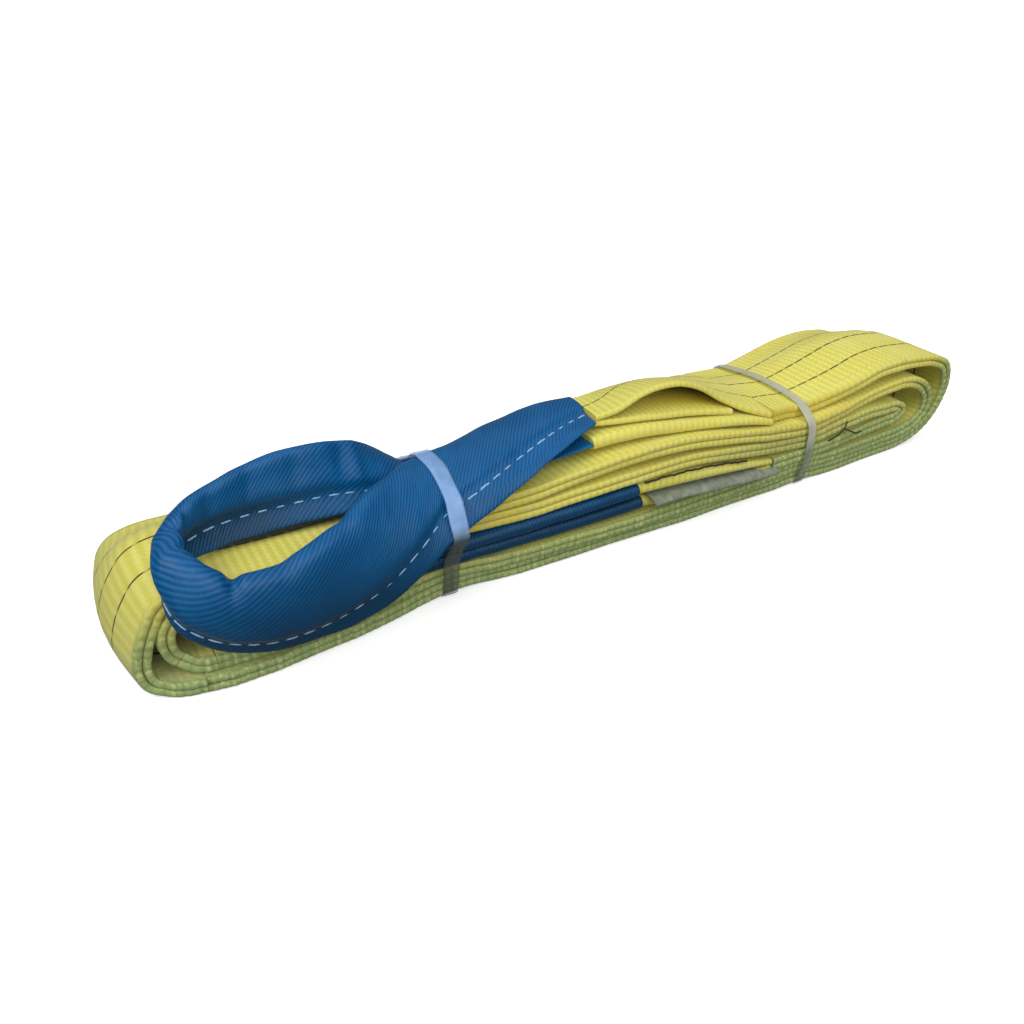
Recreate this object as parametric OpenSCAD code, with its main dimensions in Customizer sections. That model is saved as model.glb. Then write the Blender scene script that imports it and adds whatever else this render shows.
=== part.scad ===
// Flat web sling, 3 tonne duplex type, folded to and fro and held by two clear ties.
// The stations below are measured in millimetres from the near left bottom corner of
// the bundle: x along the bundle, y away from the near side, z up. place() moves
// everything so that the origin is in the middle of the resting face.

/* [Webbing] */
// Width of the webbing
web_w = 90; // [84:1:94]
// Thickness of one ply of webbing
ply_t = 3.5; // [3:0.1:3.5]
// Air between the two plies of the body
ply_gap = 0.3; // [0.2:0.1:0.4]

/* [Eye sleeves] */
// Thickness of the sleeve cloth
cloth_t = 0.8; // [0.6:0.1:1]
// Outside thickness of a sleeved leg where it is pressed flat
leg_t = 8.2; // [7.8:0.1:8.4]

/* [Stitches] */
// Distance between two seam stitches
stitch_pitch = 8; // [7:0.5:12]
// Length of one seam stitch
stitch_len = 4.6; // [3:0.2:5]

/* [Ties] */
// Width of the left tie
left_tie_w = 8; // [6:1:8]
// Width of the right tie
right_tie_w = 6; // [5:1:8]
// Thickness of a tie
tie_t = 0.7; // [0.5:0.1:0.8]

/* [Hidden] */
x_mid = 240;
y_mid = 45;
duplex_half = ply_t + ply_gap / 2;
left_tie_x = 141;
right_tie_x = 370;

// ---------------------------------------------------------------- smooth curves

// Slope at station i of a list of rows, weighted by the distances on both sides
function slope(p, i) =
    let (a = max(i - 1, 0), b = min(i + 1, len(p) - 1))
    let (da = norm(p[i] - p[a]), db = norm(p[b] - p[i]))
    a == i ? (p[b] - p[i]) / db
    : b == i ? (p[i] - p[a]) / da
    : ((p[b] - p[i]) / db * da + (p[i] - p[a]) / da * db) / (da + db);

// Point at part t of the stretch between rows i and i + 1
function between(p, i, t) =
    let (d = norm(p[i + 1] - p[i]), t2 = t * t, t3 = t2 * t)
    (2 * t3 - 3 * t2 + 1) * p[i] + (t3 - 2 * t2 + t) * d * slope(p, i)
    + (3 * t2 - 2 * t3) * p[i + 1] + (t3 - t2) * d * slope(p, i + 1);

// A smooth run through all rows, n steps for each stretch
function smooth(p, n) = [
    for (i = [0 : len(p) - 2]) for (k = [0 : n - 1]) between(p, i, k / n),
    p[len(p) - 1]
];

function unit(v) = v / norm(v);
function ahead(c, i) = unit(c[min(i + 1, len(c) - 1)] - c[max(i - 1, 0)]);

// A flat curve moved sideways, to the left of its own direction
function beside(c, off) = [
    for (i = [0 : len(c) - 1]) let (d = ahead(c, i)) c[i] + off * [-d[1], d[0]]
];

// ---------------------------------------------------------------- closed shapes

function quad(a, b, c, d) = [[a, b, c], [a, c, d]];

// A solid between two grids of points of the same size
module slab(top, bottom) {
    n = len(top);
    m = len(top[0]);
    low = n * m;
    points = [for (row = top) each row, for (row = bottom) each row];
    upper = [
        for (i = [0 : n - 2]) for (j = [0 : m - 2])
            each quad(i * m + j, i * m + j + 1, (i + 1) * m + j + 1, (i + 1) * m + j)
    ];
    under = [for (f = upper) [f[2] + low, f[1] + low, f[0] + low]];
    sides = [
        for (i = [0 : n - 2]) each quad(i * m, (i + 1) * m, low + (i + 1) * m, low + i * m),
        for (i = [0 : n - 2])
            each quad((i + 1) * m + m - 1, i * m + m - 1, low + i * m + m - 1, low + (i + 1) * m + m - 1)
    ];
    ends = [
        for (j = [0 : m - 2]) each quad(j + 1, j, low + j, low + j + 1),
        for (j = [0 : m - 2])
            each quad((n - 1) * m + j, (n - 1) * m + j + 1, low + (n - 1) * m + j + 1, low + (n - 1) * m + j)
    ];
    polyhedron(points, concat(upper, under, sides, ends));
}

// Side faces of a skin through closed sections of m points, from point number "first"
function skin_faces(n, m, first) = [
    for (i = [0 : n - 2]) for (j = [0 : m - 1])
        let (k = (j + 1) % m)
        each quad(first + i * m + j, first + (i + 1) * m + j, first + (i + 1) * m + k, first + i * m + k)
];
function turned(faces) = [for (f = faces) [f[2], f[1], f[0]]];

// A solid bar through closed sections
module bar(sections) {
    n = len(sections);
    m = len(sections[0]);
    points = [for (s = sections) each s];
    caps = [
        for (j = [0 : m / 2 - 2]) each quad(j, j + 1, m - 2 - j, m - 1 - j),
        for (j = [0 : m / 2 - 2])
            each quad((n - 1) * m + j + 1, (n - 1) * m + j, n * m - 1 - j, n * m - 2 - j)
    ];
    polyhedron(points, concat(skin_faces(n, m, 0), caps));
}

// An open tube between outer and inner sections
module tube(outer, inner) {
    n = len(outer);
    m = len(outer[0]);
    low = n * m;
    points = [for (s = outer) each s, for (s = inner) each s];
    rims = [
        for (j = [0 : m - 1]) each quad(j, (j + 1) % m, low + (j + 1) % m, low + j),
        for (j = [0 : m - 1])
            each quad((n - 1) * m + (j + 1) % m, (n - 1) * m + j,
                      low + (n - 1) * m + j, low + (n - 1) * m + (j + 1) % m)
    ];
    polyhedron(points, concat(skin_faces(n, m, 0), turned(skin_faces(n, m, low)), rims));
}

module place() { translate([-x_mid, -y_mid, 0]) children(); }

// ---------------------------------------------------------------- folded body

// Where the near edge of the bundle lies: it bows out between the two ties
near_bow = [
    [-10, -3], [6, -5], [16, -5.4], [26, -8], [45, -8.8], [75, -7.6], [98, -4.2], [120, -1.5],
    [143, -1], [190, -6], [245, -8], [310, -6], [344, -4.4], [370, -4.4], [396, -3], [430, -1], [490, 0]
];

// The lowest layer has slid out under the upper eye, and lies back between the ties
low_bow = [
    [-10, -3], [1, -5], [8, -9.5], [16, -12.5], [33, -15], [52, -15], [70, -12.6], [90, -10.6],
    [110, -6], [124, -2.5], [143, 0], [160, 0], [180, -2], [225, -3], [280, -3.6], [320, -2],
    [370, -1.4], [405, -2], [440, 0], [490, 0]
];
// The right tie pinches the near edge of the top layer back
pinch = [[300, 0], [325, 1.5], [345, 5], [360, 9], [375, 9], [395, 5], [415, 1.5], [440, 0]];
function bow_at(x, z) =
    let (s = max(0, min(1, (z - 6) / 9)), high = max(0, min(1, (z - 40) / 4)))
    lookup(x, low_bow) * (1 - s) + lookup(x, near_bow) * s + lookup(x, pinch) * high;

// And where the far edge lies
far_bow = [
    [-10, 89], [60, 91], [143, 88], [250, 90], [300, 87], [344, 80], [370, 76], [405, 84], [445, 89],
    [490, 89]
];

// Across the width the layers lie level over the eye legs, then slope to the far edge
across = [0, 0.5, 0.76, 1];
function near_part(u) = u <= 0.5 ? 1 : (1 + cos(180 * (u - 0.5) / 0.5)) / 2;

// Rows are [x and z of the near half, x and z at the far edge, swell of the folds,
// lift of the near edge].
// The runs follow each other from the upper eye inwards, always turning the same way.
top_rows = [
    [345, 48.6, 345, 41.4, 0, -1], [370, 45.6, 370, 42.1, 0, -1.4], [400, 51.4, 400, 44.4, 0, -1],
    [425, 57.6, 425, 47.2, 0, 0], [445, 59, 445, 47.4, 0, 0]
];
bottom_rows = [
    [446, 59, 446, 47.4, 0, 0], [460, 58, 459, 46.6, 0, 0], [475, 55.2, 473, 43.6, 0, 0],
    [486, 49, 483.6, 36.4, 1, 0], [490, 37.4, 487, 27, 1, 0], [487.6, 25, 482.8, 16.6, 1, 0],
    [480.5, 15, 473, 9, 1, 0], [470, 8, 462, 5, 0, 0], [456, 4.4, 450, 3.8, 0, 0],
    [443, 3.65, 438, 3.65, 0, 0], [430, 3.65, 425, 3.65, 0, 0], [402, 3.65, 402, 3.65, 0, 0],
    [390, 3.65, 390, 3.65, 0, 0], [378, 4.6, 378, 4.6, 0, 0], [362, 4.6, 362, 4.6, 0, 0],
    [350, 3.65, 350, 3.65, 0, 0], [338, 3.65, 338, 3.65, 0, 0], [177, 3.65, 177, 3.65, 0, 0],
    [165, 3.65, 165, 3.65, 0, 0], [152, 4.6, 152, 4.6, 0, 0], [134, 4.6, 134, 4.6, 0, 0],
    [121, 3.65, 121, 3.65, 0, 0], [109, 3.65, 109, 3.65, 0, 0], [34, 3.65, 34, 3.65, 0, 0],
    [22, 3.65, 22, 3.65, 0, 0]
];
fourth_rows = [
    [21, 3.65, 21, 3.65, 0, 0], [9, 3.8, 5, 4.6, -4, 0], [1.6, 6.2, -1.4, 8.5, -6.6, 0],
    [-0.4, 13, -2, 15, -7, 0], [1.8, 24, 0.6, 21, -6.6, 0], [6.4, 35, 6, 25.3, -5, 0],
    [11, 42, 13, 27.3, -3.2, 0], [18, 45.4, 20, 27.9, -1, 0], [30, 46.2, 30, 27.9, 0, 0],
    [60, 45.8, 60, 27.8, 0, 0], [100, 44.8, 100, 27.6, 0, 0], [143, 43.8, 143, 27.4, 0, 0],
    [185, 44.8, 185, 27.6, 0, 1], [215, 46.7, 215, 28, 0, 2.7], [250, 47.8, 250, 28.8, 0, 4.4],
    [285, 46, 285, 30.4, 0, 4], [320, 42.2, 320, 32.9, 0, 1.4], [345, 39, 345, 33.8, 0, 0],
    [370, 36.6, 370, 34.6, 0, 0], [400, 39.8, 400, 35.3, 0, 0], [425, 43.6, 425, 35.8, 0, 0],
    [446, 46, 446, 36, 0, 0]
];
second_rows = [
    [447, 46, 447, 36, 0, 0], [459, 44.6, 459, 34.6, 0, 0], [469, 39.5, 468, 30.5, 0, 0],
    [475.3, 31, 472.6, 24, 0, 0], [474.8, 22, 470, 17, 0, 0], [467.5, 15, 462, 12.8, 0, 0],
    [455, 12, 452, 11.5, 0, 0], [440, 11.3, 440, 11.3, 0, 0], [402, 11.3, 402, 11.3, 0, 0],
    [390, 11.3, 390, 11.3, 0, 0], [378, 12.2, 378, 12.2, 0, 0], [362, 12.2, 362, 12.2, 0, 0],
    [350, 11.3, 350, 11.3, 0, 0], [338, 11.3, 338, 11.3, 0, 0], [177, 11.3, 177, 11.3, 0, 0],
    [165, 11.3, 165, 11.3, 0, 0], [152, 12.2, 152, 12.2, 0, 0], [134, 12.2, 134, 12.2, 0, 0],
    [121, 11.3, 121, 11.3, 0, 0], [109, 11.3, 109, 11.3, 0, 0], [40, 11.3, 34, 11.3, 0, 0],
    [28, 11.3, 22, 11.3, 0, 0]
];
third_rows = [
    [27, 11.3, 21, 11.3, 0, 0], [19, 12.4, 13, 11.8, -1, 0], [12.6, 17.5, 8.6, 15.6, -3, 0],
    [11, 25, 13, 19.6, -4, 0], [13.5, 32.5, 20, 20, -3, 0], [20, 37.2, 26, 20, -1, 0],
    [31, 38.4, 34, 20, 0, 0], [60, 38, 60, 20, 0, 0], [100, 37, 100, 19.8, 0, 0],
    [143, 36.1, 143, 19.7, 0, 0], [185, 37, 185, 19.8, 0, 0], [215, 38.9, 215, 20.2, 0, 0.3],
    [250, 40.1, 250, 21, 0, 0.7], [285, 38, 285, 22.8, 0, 1.6], [320, 33.8, 320, 25.5, 0, 0.6],
    [345, 30.8, 345, 26.3, 0, -0.4], [370, 28.6, 370, 27.1, 0, 0], [400, 31.4, 400, 27.7, 0, 0],
    [425, 32.4, 425, 28, 0, 0], [440, 31.6, 440, 28, 0, 0]
];
core_rows = [
    [441, 31.6, 441, 28, 0, 0], [449, 30.6, 448, 27.6, 0, 0], [453.8, 27, 452.4, 24, 0, 0],
    [449, 23.4, 448, 20.3, 0, 0], [440, 22.6, 440, 19.7, 0, 0], [425, 21.8, 425, 19.5, 0, 0],
    [400, 20.6, 400, 19.4, 0, 0], [370, 20.2, 370, 19.7, 0, 0], [345, 19.6, 345, 18.8, 0, 0]
];

// Grid of points of a run at one distance from its mid surface
function run_grid(rows, off, nodes, steps) =
    let (c = smooth(rows, steps))
    let (near = beside([for (r = c) [r[0], r[1]]], off))
    let (far = beside([for (r = c) [r[2], r[3]]], off))
    [
        for (i = [0 : len(c) - 1]) [
            for (u = nodes)
                let (s = near_part(u))
                let (p = near[i] * s + far[i] * (1 - s))
                let (swell = c[i][4] * sin(180 * u), lift = c[i][5] * max(0, 1 - 2 * u))
                let (y_near = bow_at(c[i][0], c[i][1]), y_far = lookup(c[i][0], far_bow) + web_w - 90)
                [p[0] + swell, y_near * (1 - u) + y_far * u, max(0, p[1] + lift)]
        ]
    ];

// One ply of a run: side 1 is the outside of the roll, side -1 the inside
module ply(rows, side) {
    place() slab(
        run_grid(rows, side > 0 ? duplex_half : -ply_gap / 2, across, 2),
        run_grid(rows, side > 0 ? ply_gap / 2 : -duplex_half, across, 2)
    );
}

// ---------------------------------------------------------------- eye legs

// Rows are [sewn edge x, y, z, other edge x, y, z, thickness, swell of the middle,
// width of the sewn edge outside the tube]
top_leg_rows = [
    [229, 7, 68.5, 233, 40.5, 66.6, leg_t, 0, 13], [215, 2, 66.4, 212, 41, 66.9, leg_t, 1, 13],
    [200, -3, 63.4, 195, 39, 65.6, leg_t, 3.5, 12], [182, -8, 58, 180, 37.5, 63.8, leg_t, 6, 11.5],
    [165, -12, 52, 165, 34, 62.2, leg_t, 8.5, 11], [153, -14.5, 47.5, 153, 31, 61.6, leg_t, 9.6, 11],
    [138.7, -16.6, 42.7, 138.7, 28.7, 62, leg_t, 9, 12]
];
loop_rows = [
    [136.2, -16.8, 41.6, 136.2, 27.3, 62.6, leg_t, 9, 12],
    [128, -18.2, 35.6, 128, 20.5, 65.6, leg_t, 8.6, 13],
    [119, -18.6, 29, 118, 10, 68, 8.6, 8, 13.5], [108, -18, 21.5, 107, 1, 69.6, 9.4, 6, 13],
    [95, -17, 16, 96, -8, 68.6, 10, 4, 12], [80, -17, 13.4, 83, -15, 65, 10, 3, 10.5],
    [62, -17.5, 13.4, 66, -20.5, 60.4, 10, 3, 9], [46, -18, 16, 50, -22, 58.4, 10, 3, 8.5],
    [34, -18, 21, 40, -21, 59.6, 10, 3, 8], [23, -17, 28, 32, -18, 63, 10, 3, 7.5],
    [15, -15, 37, 28, -13, 66, 10, 3, 6.5], [12.5, -11, 45, 25, -7, 69, 10, 3, 6.5],
    [15, -5, 51.6, 24.4, 0, 71.6, 10, 3, 7.5], [21, 1, 54, 26, 7.5, 75, 10, 3, 8.5],
    [29, 6, 54.6, 31, 13.5, 77.6, 10, 3, 9.5], [38.5, 9.5, 54.4, 40, 18, 79.8, 10, 3, 10.5],
    [49, 11.5, 54.2, 51.4, 21.5, 82, 10, 3, 11], [61, 12.5, 54.1, 64.2, 23.5, 84, 10, 3, 11],
    [74, 12.5, 54, 77.5, 24.5, 85.2, 10, 3, 11], [87, 12, 53.9, 89.5, 25.5, 85, 10, 3, 11],
    [99, 11.5, 53.6, 101, 28, 81.8, 9.6, 3, 10.5], [110, 11, 53.2, 111.5, 33, 76, 9, 2, 10],
    [120, 10.5, 52.6, 120.5, 39, 68, 8.6, 1, 9.5], [129, 10, 52.2, 129, 42.8, 59.6, leg_t, 0, 9],
    [136.2, 9.4, 52.2, 136.2, 44.4, 53.4, leg_t, 0, 8.5]
];
under_leg_rows = [
    [138.7, 9.2, 52.1, 138.7, 44.6, 52.9, leg_t, 0, 8.5], [150, 8.4, 52.1, 150, 44.8, 52.2, leg_t, 0, 9],
    [165, 7, 52.8, 165, 45, 52.5, leg_t, 0, 9], [182, 5, 54.2, 182, 46, 53, leg_t, 0, 10],
    [200, 3, 56.8, 200, 46.5, 54.4, leg_t, 0, 11], [224, 1, 60.2, 224, 46.3, 56.6, leg_t, 0, 12]
];
lower_eye_rows = [
    [253, 44, 21, 253, -5, 21, leg_t, 0, 7], [215, 44, 20.4, 215, -4.6, 20.4, leg_t, 0, 7],
    [180, 45, 20, 180, -3.4, 20, leg_t, 0, 7], [143, 45, 20.4, 143, -2.6, 20.4, leg_t, 0, 7],
    [100, 44, 19.7, 100, -3, 19.7, leg_t, 0, 7], [60, 43, 19.6, 60, -4, 19.6, leg_t, 0, 7],
    [40, 43, 19.8, 38, -4, 19.8, leg_t, 0, 7], [29, 43, 20.4, 27, -4, 20.4, 8, 0, 7],
    [23.6, 43, 25, 21.6, -4, 25, 8, 0, 7], [29, 43, 29.6, 27, -4, 29.6, 8, 0, 7],
    [40, 43, 30, 38, -5, 30, leg_t, 0, 7], [60, 43, 29.6, 60, -5, 29.6, leg_t, 0, 7],
    [100, 44, 28.6, 100, -4.4, 28.6, leg_t, 0, 7], [143, 45, 28.2, 143, -4.8, 28.2, 7.6, 0, 7],
    [180, 45, 28.7, 180, -6.4, 28.7, leg_t, 0, 7], [215, 43, 30.3, 215, -7.8, 30.3, leg_t, 0, 7],
    [248, 42, 31.2, 248, -8, 31.2, leg_t, 0, 7]
];

// Bare legs between a sleeve and the splice, opening from half width to full width
outer_half_rows = [
    [233, 9, 70.1, 236, 38.5, 67.8, 3.2, 0], [243, 8, 72, 247, 44, 65, 3.2, -1.2],
    [256, 8, 77, 260, 51, 61.4, 3.2, -2.6], [270, 8, 79.2, 280, 57, 57.6, 3.2, -3],
    [284, 8, 77.6, 297, 62, 54, 3.2, -2.6], [297, 8, 72.2, 310, 67, 51, 3.2, -2.6],
    [310, 7, 63.6, 322, 72.5, 47.8, 3.2, -3], [324, 4, 56, 333, 77, 45.4, 3.3, -3.6],
    [342.8, 0.5, 48.6, 342.8, 79.5, 43.1, ply_t, -5]
];
inner_half_rows = [
    [232.6, 9, 66.6, 236, 38.5, 64.4, 3.2, 0], [243, 7, 66.1, 247, 42, 61.6, 3.2, -0.7],
    [256, 5, 65.5, 260, 46, 59.5, 3.2, -1.4], [270, 4, 63.9, 280, 52, 56.5, 3.2, -2.1],
    [284, 4, 62.1, 295, 58, 52.8, 3.2, -2.7], [300, 4, 59.1, 305, 61, 50.6, 3.2, -3.1],
    [317, 4, 55.4, 313, 61, 49.3, 3.2, -3.2]
];
under_bare_rows = [
    [225, 1, 60.2, 225, 45, 56.4, 6.4, 0], [240, 0, 61, 240, 45.5, 55, 6.4, 0],
    [257, -1, 60.4, 257, 50, 53.6, 6.2, -0.8], [276, -1, 57.8, 276, 56, 50.7, 6, -1.6],
    [300, -1, 54.2, 300, 66, 45.2, 5, -2.8], [323, -2, 50.4, 323, 74, 41.2, 4, -3.2],
    [343.8, -1, 44.6, 343.8, 79.5, 39.5, ply_t, -5]
];
lower_top_bare_rows = [
    [249, -6.6, 31.2, 249, 36, 31.2, 6.6, 0], [268, -7.4, 31, 268, 40, 31, 7.6, 0],
    [290, -8, 30, 290, 48, 27.8, 7, 0], [315, -7, 26.8, 315, 64, 23.1, 4.9, 0],
    [332, -5.4, 23.8, 332, 76, 21.1, 3.8, 0], [343.8, -4, 21.5, 343.8, 79.5, 20.6, ply_t, 0]
];
lower_under_bare_rows = [
    [254, -3.6, 20.8, 254, 38, 20.8, 6.4, 0], [275, -6, 20.2, 275, 42, 20, 6.4, 0],
    [300, -7, 19.6, 300, 56, 19.2, 5.4, 0], [322, -6, 18.2, 322, 71, 17.6, 4, 0],
    [343.8, -4, 17.7, 343.8, 79.5, 16.9, ply_t, 0]
];

// Middle, across direction and outward direction of each station of a leg
function leg_frames(rows, steps) =
    let (c = smooth(rows, steps))
    let (mid = [for (r = c) [r[0] + r[3], r[1] + r[4], r[2] + r[5]] / 2])
    [
        for (i = [0 : len(c) - 1])
            let (r = c[i])
            let (w = [r[3] - r[0], r[4] - r[1], r[5] - r[2]])
            [mid[i], unit(w), unit(cross(w, ahead(mid, i))), norm(w) / 2, r[6], r[7], r[8]]
    ];

// A flat outline [across, out] set into a frame, with the swell of the leg
function set_in(f, outline) = [
    for (p = outline)
        let (swell = f[5] * (1 - pow(p[0] / f[3], 2)))
        f[0] + p[0] * f[1] + (p[1] + swell) * f[2]
];

// Outside of a sleeve: a rounded flat tube with a thin sewn edge of width q
function sleeve_outline(h, t, q) = [
    [-h, 0.8], [-h + q, 0.85], [-h + q + 3, t / 2], [q / 2, t / 2], [h - 3, t / 2], [h, t / 5],
    [h, -t / 5], [h - 3, -t / 2], [q / 2, -t / 2], [-h + q + 3, -t / 2], [-h + q, -0.85], [-h, -0.8]
];
// Inside of a sleeve, the same number of points
function hollow_outline(h, t, q) =
    let (a = -h + q, k = t / 2 - cloth_t, e = h - cloth_t)
    [
        [a + 1.6, 0.2], [a + 2.2, 0.6], [a + 4, k], [q / 2, k], [h - 3.4, k], [e, t / 5 - 0.3],
        [e, 0.3 - t / 5], [h - 3.4, -k], [q / 2, -k], [a + 4, -k], [a + 2.2, -0.6], [a + 1.6, -0.2]
    ];
// Folded webbing that fills the sleeve
function fold_outline(h, t, q) =
    let (a = -h + q, k = t / 2 - cloth_t - 0.3, e = h - cloth_t - 0.6)
    [
        [a + 3.2, 0.5], [a + 4.6, k], [q / 2, k], [h - 4, k], [e, t / 5 - 0.8],
        [e, 0.8 - t / 5], [h - 4, -k], [q / 2, -k], [a + 4.6, -k], [a + 3.2, -0.5]
    ];
// Bare webbing
function bare_outline(h, t) = [
    [-h, t / 2], [0, t / 2], [h, t / 2], [h, -t / 2], [0, -t / 2], [-h, -t / 2]
];

module sleeve(rows, steps) {
    f = leg_frames(rows, steps);
    place() tube(
        [for (s = f) set_in(s, sleeve_outline(s[3], s[4], s[6]))],
        [for (s = f) set_in(s, hollow_outline(s[3], s[4], s[6]))]
    );
}

module folded_webbing(rows, steps) {
    place() bar([for (s = leg_frames(rows, steps)) set_in(s, fold_outline(s[3], s[4], s[6]))]);
}

module bare_leg(rows) {
    place() bar([for (s = leg_frames(rows, 2)) set_in(s, bare_outline(s[3], s[4]))]);
}

// Length along a list of points, up to each of them
function travelled(c, i = 0, sum = 0) =
    i >= len(c) ? [] : concat([sum], travelled(c, i + 1, i + 1 < len(c) ? sum + norm(c[i + 1] - c[i]) : sum));

// Short threads along the sewn edge of a sleeve, each through both cloths
module seam(rows) {
    f = leg_frames(rows, 8);
    line = [for (s = f) set_in(s, [[-s[3] + s[6] - 1.6, 0]])[0]];
    at = travelled(line);
    total = at[len(at) - 1];
    for (d = [stitch_pitch / 2 : stitch_pitch : total - stitch_pitch / 2]) {
        i = [for (k = [0 : len(at) - 2]) if (at[k] <= d && at[k + 1] > d) k][0];
        t = unit(line[i + 1] - line[i]);
        p = line[i] + (d - at[i]) * t;
        w = unit(f[i][1] - (f[i][1] * t) * t);
        n = cross(t, w);
        place() multmatrix([
            [t[0], w[0], n[0], p[0]], [t[1], w[1], n[1], p[1]], [t[2], w[2], n[2], p[2]], [0, 0, 0, 1]
        ]) cube([stitch_len, 0.9, 2.3], center = true);
    }
}

// ---------------------------------------------------------------- small pieces

// Thread line on the outside of a run, between two of its stations: u is its place
// across the width
module thread_line(rows, u, first, last) {
    over = run_grid(rows, duplex_half + 0.35, [u, u + 0.01], 2);
    under = run_grid(rows, duplex_half - 0.1, [u, u + 0.01], 2);
    place() slab([for (i = [first : last]) over[i]], [for (i = [first : last]) under[i]]);
}

module splice_lines() {
    for (u = [0.08, 0.36, 0.64, 0.92]) thread_line(top_rows, u, 3, 7);
}

// A run of black thread lies along the near edge of the top bare leg
thread_rows = [
    [251.5, -7, 35.4], [261, -7.6, 35.9], [273, -7.8, 35.6], [287, -7.6, 34.7], [300, -7, 33.1],
    [313, -6.6, 30.9], [322, -6.2, 29.2]
];

// Blank label: it lies between the two bare legs of the lower eye, and its free edge
// hangs down over the near side of the lower one. Rows are [x, height of the flat part,
// where its inner edge is, and how far its outer part is set back].
label_rows = [
    [256, 25, 18, 0], [276, 24.7, 18, 0], [296, 23.4, 18, 0], [310, 22.1, 18, 0.2],
    [322, 21, 18, 0.8], [329, 20.5, 14, 1.2], [333, 20.3, -6.4, 1.2], [344, 19.8, -6.4, 1.2]
];
module label() {
    top = [for (r = label_rows) [
        [r[0], r[2], r[1] + 0.4], [r[0], r[3] - 8.6, r[1] + 0.4],
        [r[0], r[3] - 10.6, r[1] - 0.6], [r[0], r[3] - 11.4, r[1] - 1.8], [r[0], r[3] - 11.6, r[1] - 3]
    ]];
    under = [for (r = label_rows) [
        [r[0], r[2], r[1] - 0.4], [r[0], r[3] - 8.4, r[1] - 0.4],
        [r[0], r[3] - 9.9, r[1] - 1.2], [r[0], r[3] - 10.6, r[1] - 2], [r[0], r[3] - 10.8, r[1] - 3]
    ]];
    place() slab(under, top);
}

// Both ties are flat rings round the bundle, drawn in the plane across it
left_ring = [
    [0, 0.02], [-2.4, 0.8], [-5.4, 14], [-6.4, 24], [-17.4, 39.6], [-19.2, 43], [-17.8, 47], [-11.8, 59],
    [-8, 61.6], [3, 67], [10, 68.6], [22, 68.6], [28.6, 66.4], [33, 62.6], [40, 59.2],
    [47.6, 56.6], [50.4, 52.8], [66, 42.6], [80, 35.8], [88.4, 32.4], [90.4, 29.6], [90.4, 3], [89, 0.02]
];
right_ring = [
    [-1.2, 0.02], [-3, 1.2], [-5.2, 9], [-6.4, 15], [-6.8, 32], [-6.2, 38.6], [-3.4, 42.6],
    [4, 48.5], [14, 50.8], [28, 51.6], [44, 51.4], [58, 50], [69, 48.4], [76.6, 47.2], [79.2, 44],
    [79.2, 3], [77.2, 0.02]
];

// Each corner of an outline moved outwards by d
function grown(c, d) = [
    for (i = [0 : len(c) - 1])
        let (a = unit(c[i] - c[(i + len(c) - 1) % len(c)]), b = unit(c[(i + 1) % len(c)] - c[i]))
        let (n = unit([-a[1], a[0]] + [-b[1], b[0]]))
        c[i] + n * d / max(0.5, n * [-a[1], a[0]])
];

module ring(outline, x, w) {
    inside = grown(outline, -tie_t);
    place() translate([x - w / 2, 0, 0]) rotate([90, 0, 90]) linear_extrude(w) difference() {
        polygon(outline);
        polygon(inside);
    }
}

// ---------------------------------------------------------------- the nodes

module top_run_upper_ply() { color("khaki") ply(top_rows, 1); }
module top_run_lower_ply() { color("khaki") ply(top_rows, -1); }
module bottom_run_outer_ply() { color("khaki") ply(bottom_rows, 1); }
module bottom_run_inner_ply() { color("khaki") ply(bottom_rows, -1); }
module fourth_run_outer_ply() { color("khaki") ply(fourth_rows, 1); }
module fourth_run_inner_ply() { color("khaki") ply(fourth_rows, -1); }
module second_run_outer_ply() { color("khaki") ply(second_rows, 1); }
module second_run_inner_ply() { color("khaki") ply(second_rows, -1); }
module third_run_outer_ply() { color("khaki") ply(third_rows, 1); }
module third_run_inner_ply() { color("khaki") ply(third_rows, -1); }
module core_run_outer_ply() { color("khaki") ply(core_rows, 1); }
module core_run_inner_ply() { color("khaki") ply(core_rows, -1); }

module upper_eye_loop_webbing() { color("khaki") folded_webbing(loop_rows, 2); }
module upper_eye_loop_sleeve() { color("steelblue") sleeve(loop_rows, 2); }
module upper_eye_loop_seam() { color("lightblue") seam(loop_rows); }
module upper_eye_top_leg_webbing() { color("khaki") folded_webbing(top_leg_rows, 2); }
module upper_eye_top_leg_sleeve() { color("steelblue") sleeve(top_leg_rows, 2); }
module upper_eye_top_leg_seam() { color("lightblue") seam(top_leg_rows); }
module upper_eye_under_leg_webbing() { color("khaki") folded_webbing(under_leg_rows, 2); }
module upper_eye_under_leg_sleeve() { color("steelblue") sleeve(under_leg_rows, 2); }
module upper_eye_under_leg_seam() { color("lightblue") seam(under_leg_rows); }
module upper_eye_top_leg_outer_half() { color("khaki") bare_leg(outer_half_rows); }
module upper_eye_top_leg_inner_half() { color("khaki") bare_leg(inner_half_rows); }
module upper_eye_under_leg_bare() { color("khaki") bare_leg(under_bare_rows); }

module lower_eye_webbing() { color("khaki") folded_webbing(lower_eye_rows, 2); }
module lower_eye_sleeve() { color("steelblue") sleeve(lower_eye_rows, 2); }
module lower_eye_seam() { color("lightblue") seam(lower_eye_rows); }
module lower_eye_top_leg_bare() { color("khaki") bare_leg(lower_top_bare_rows); }
module lower_eye_under_leg_bare() { color("khaki") bare_leg(lower_under_bare_rows); }

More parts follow.
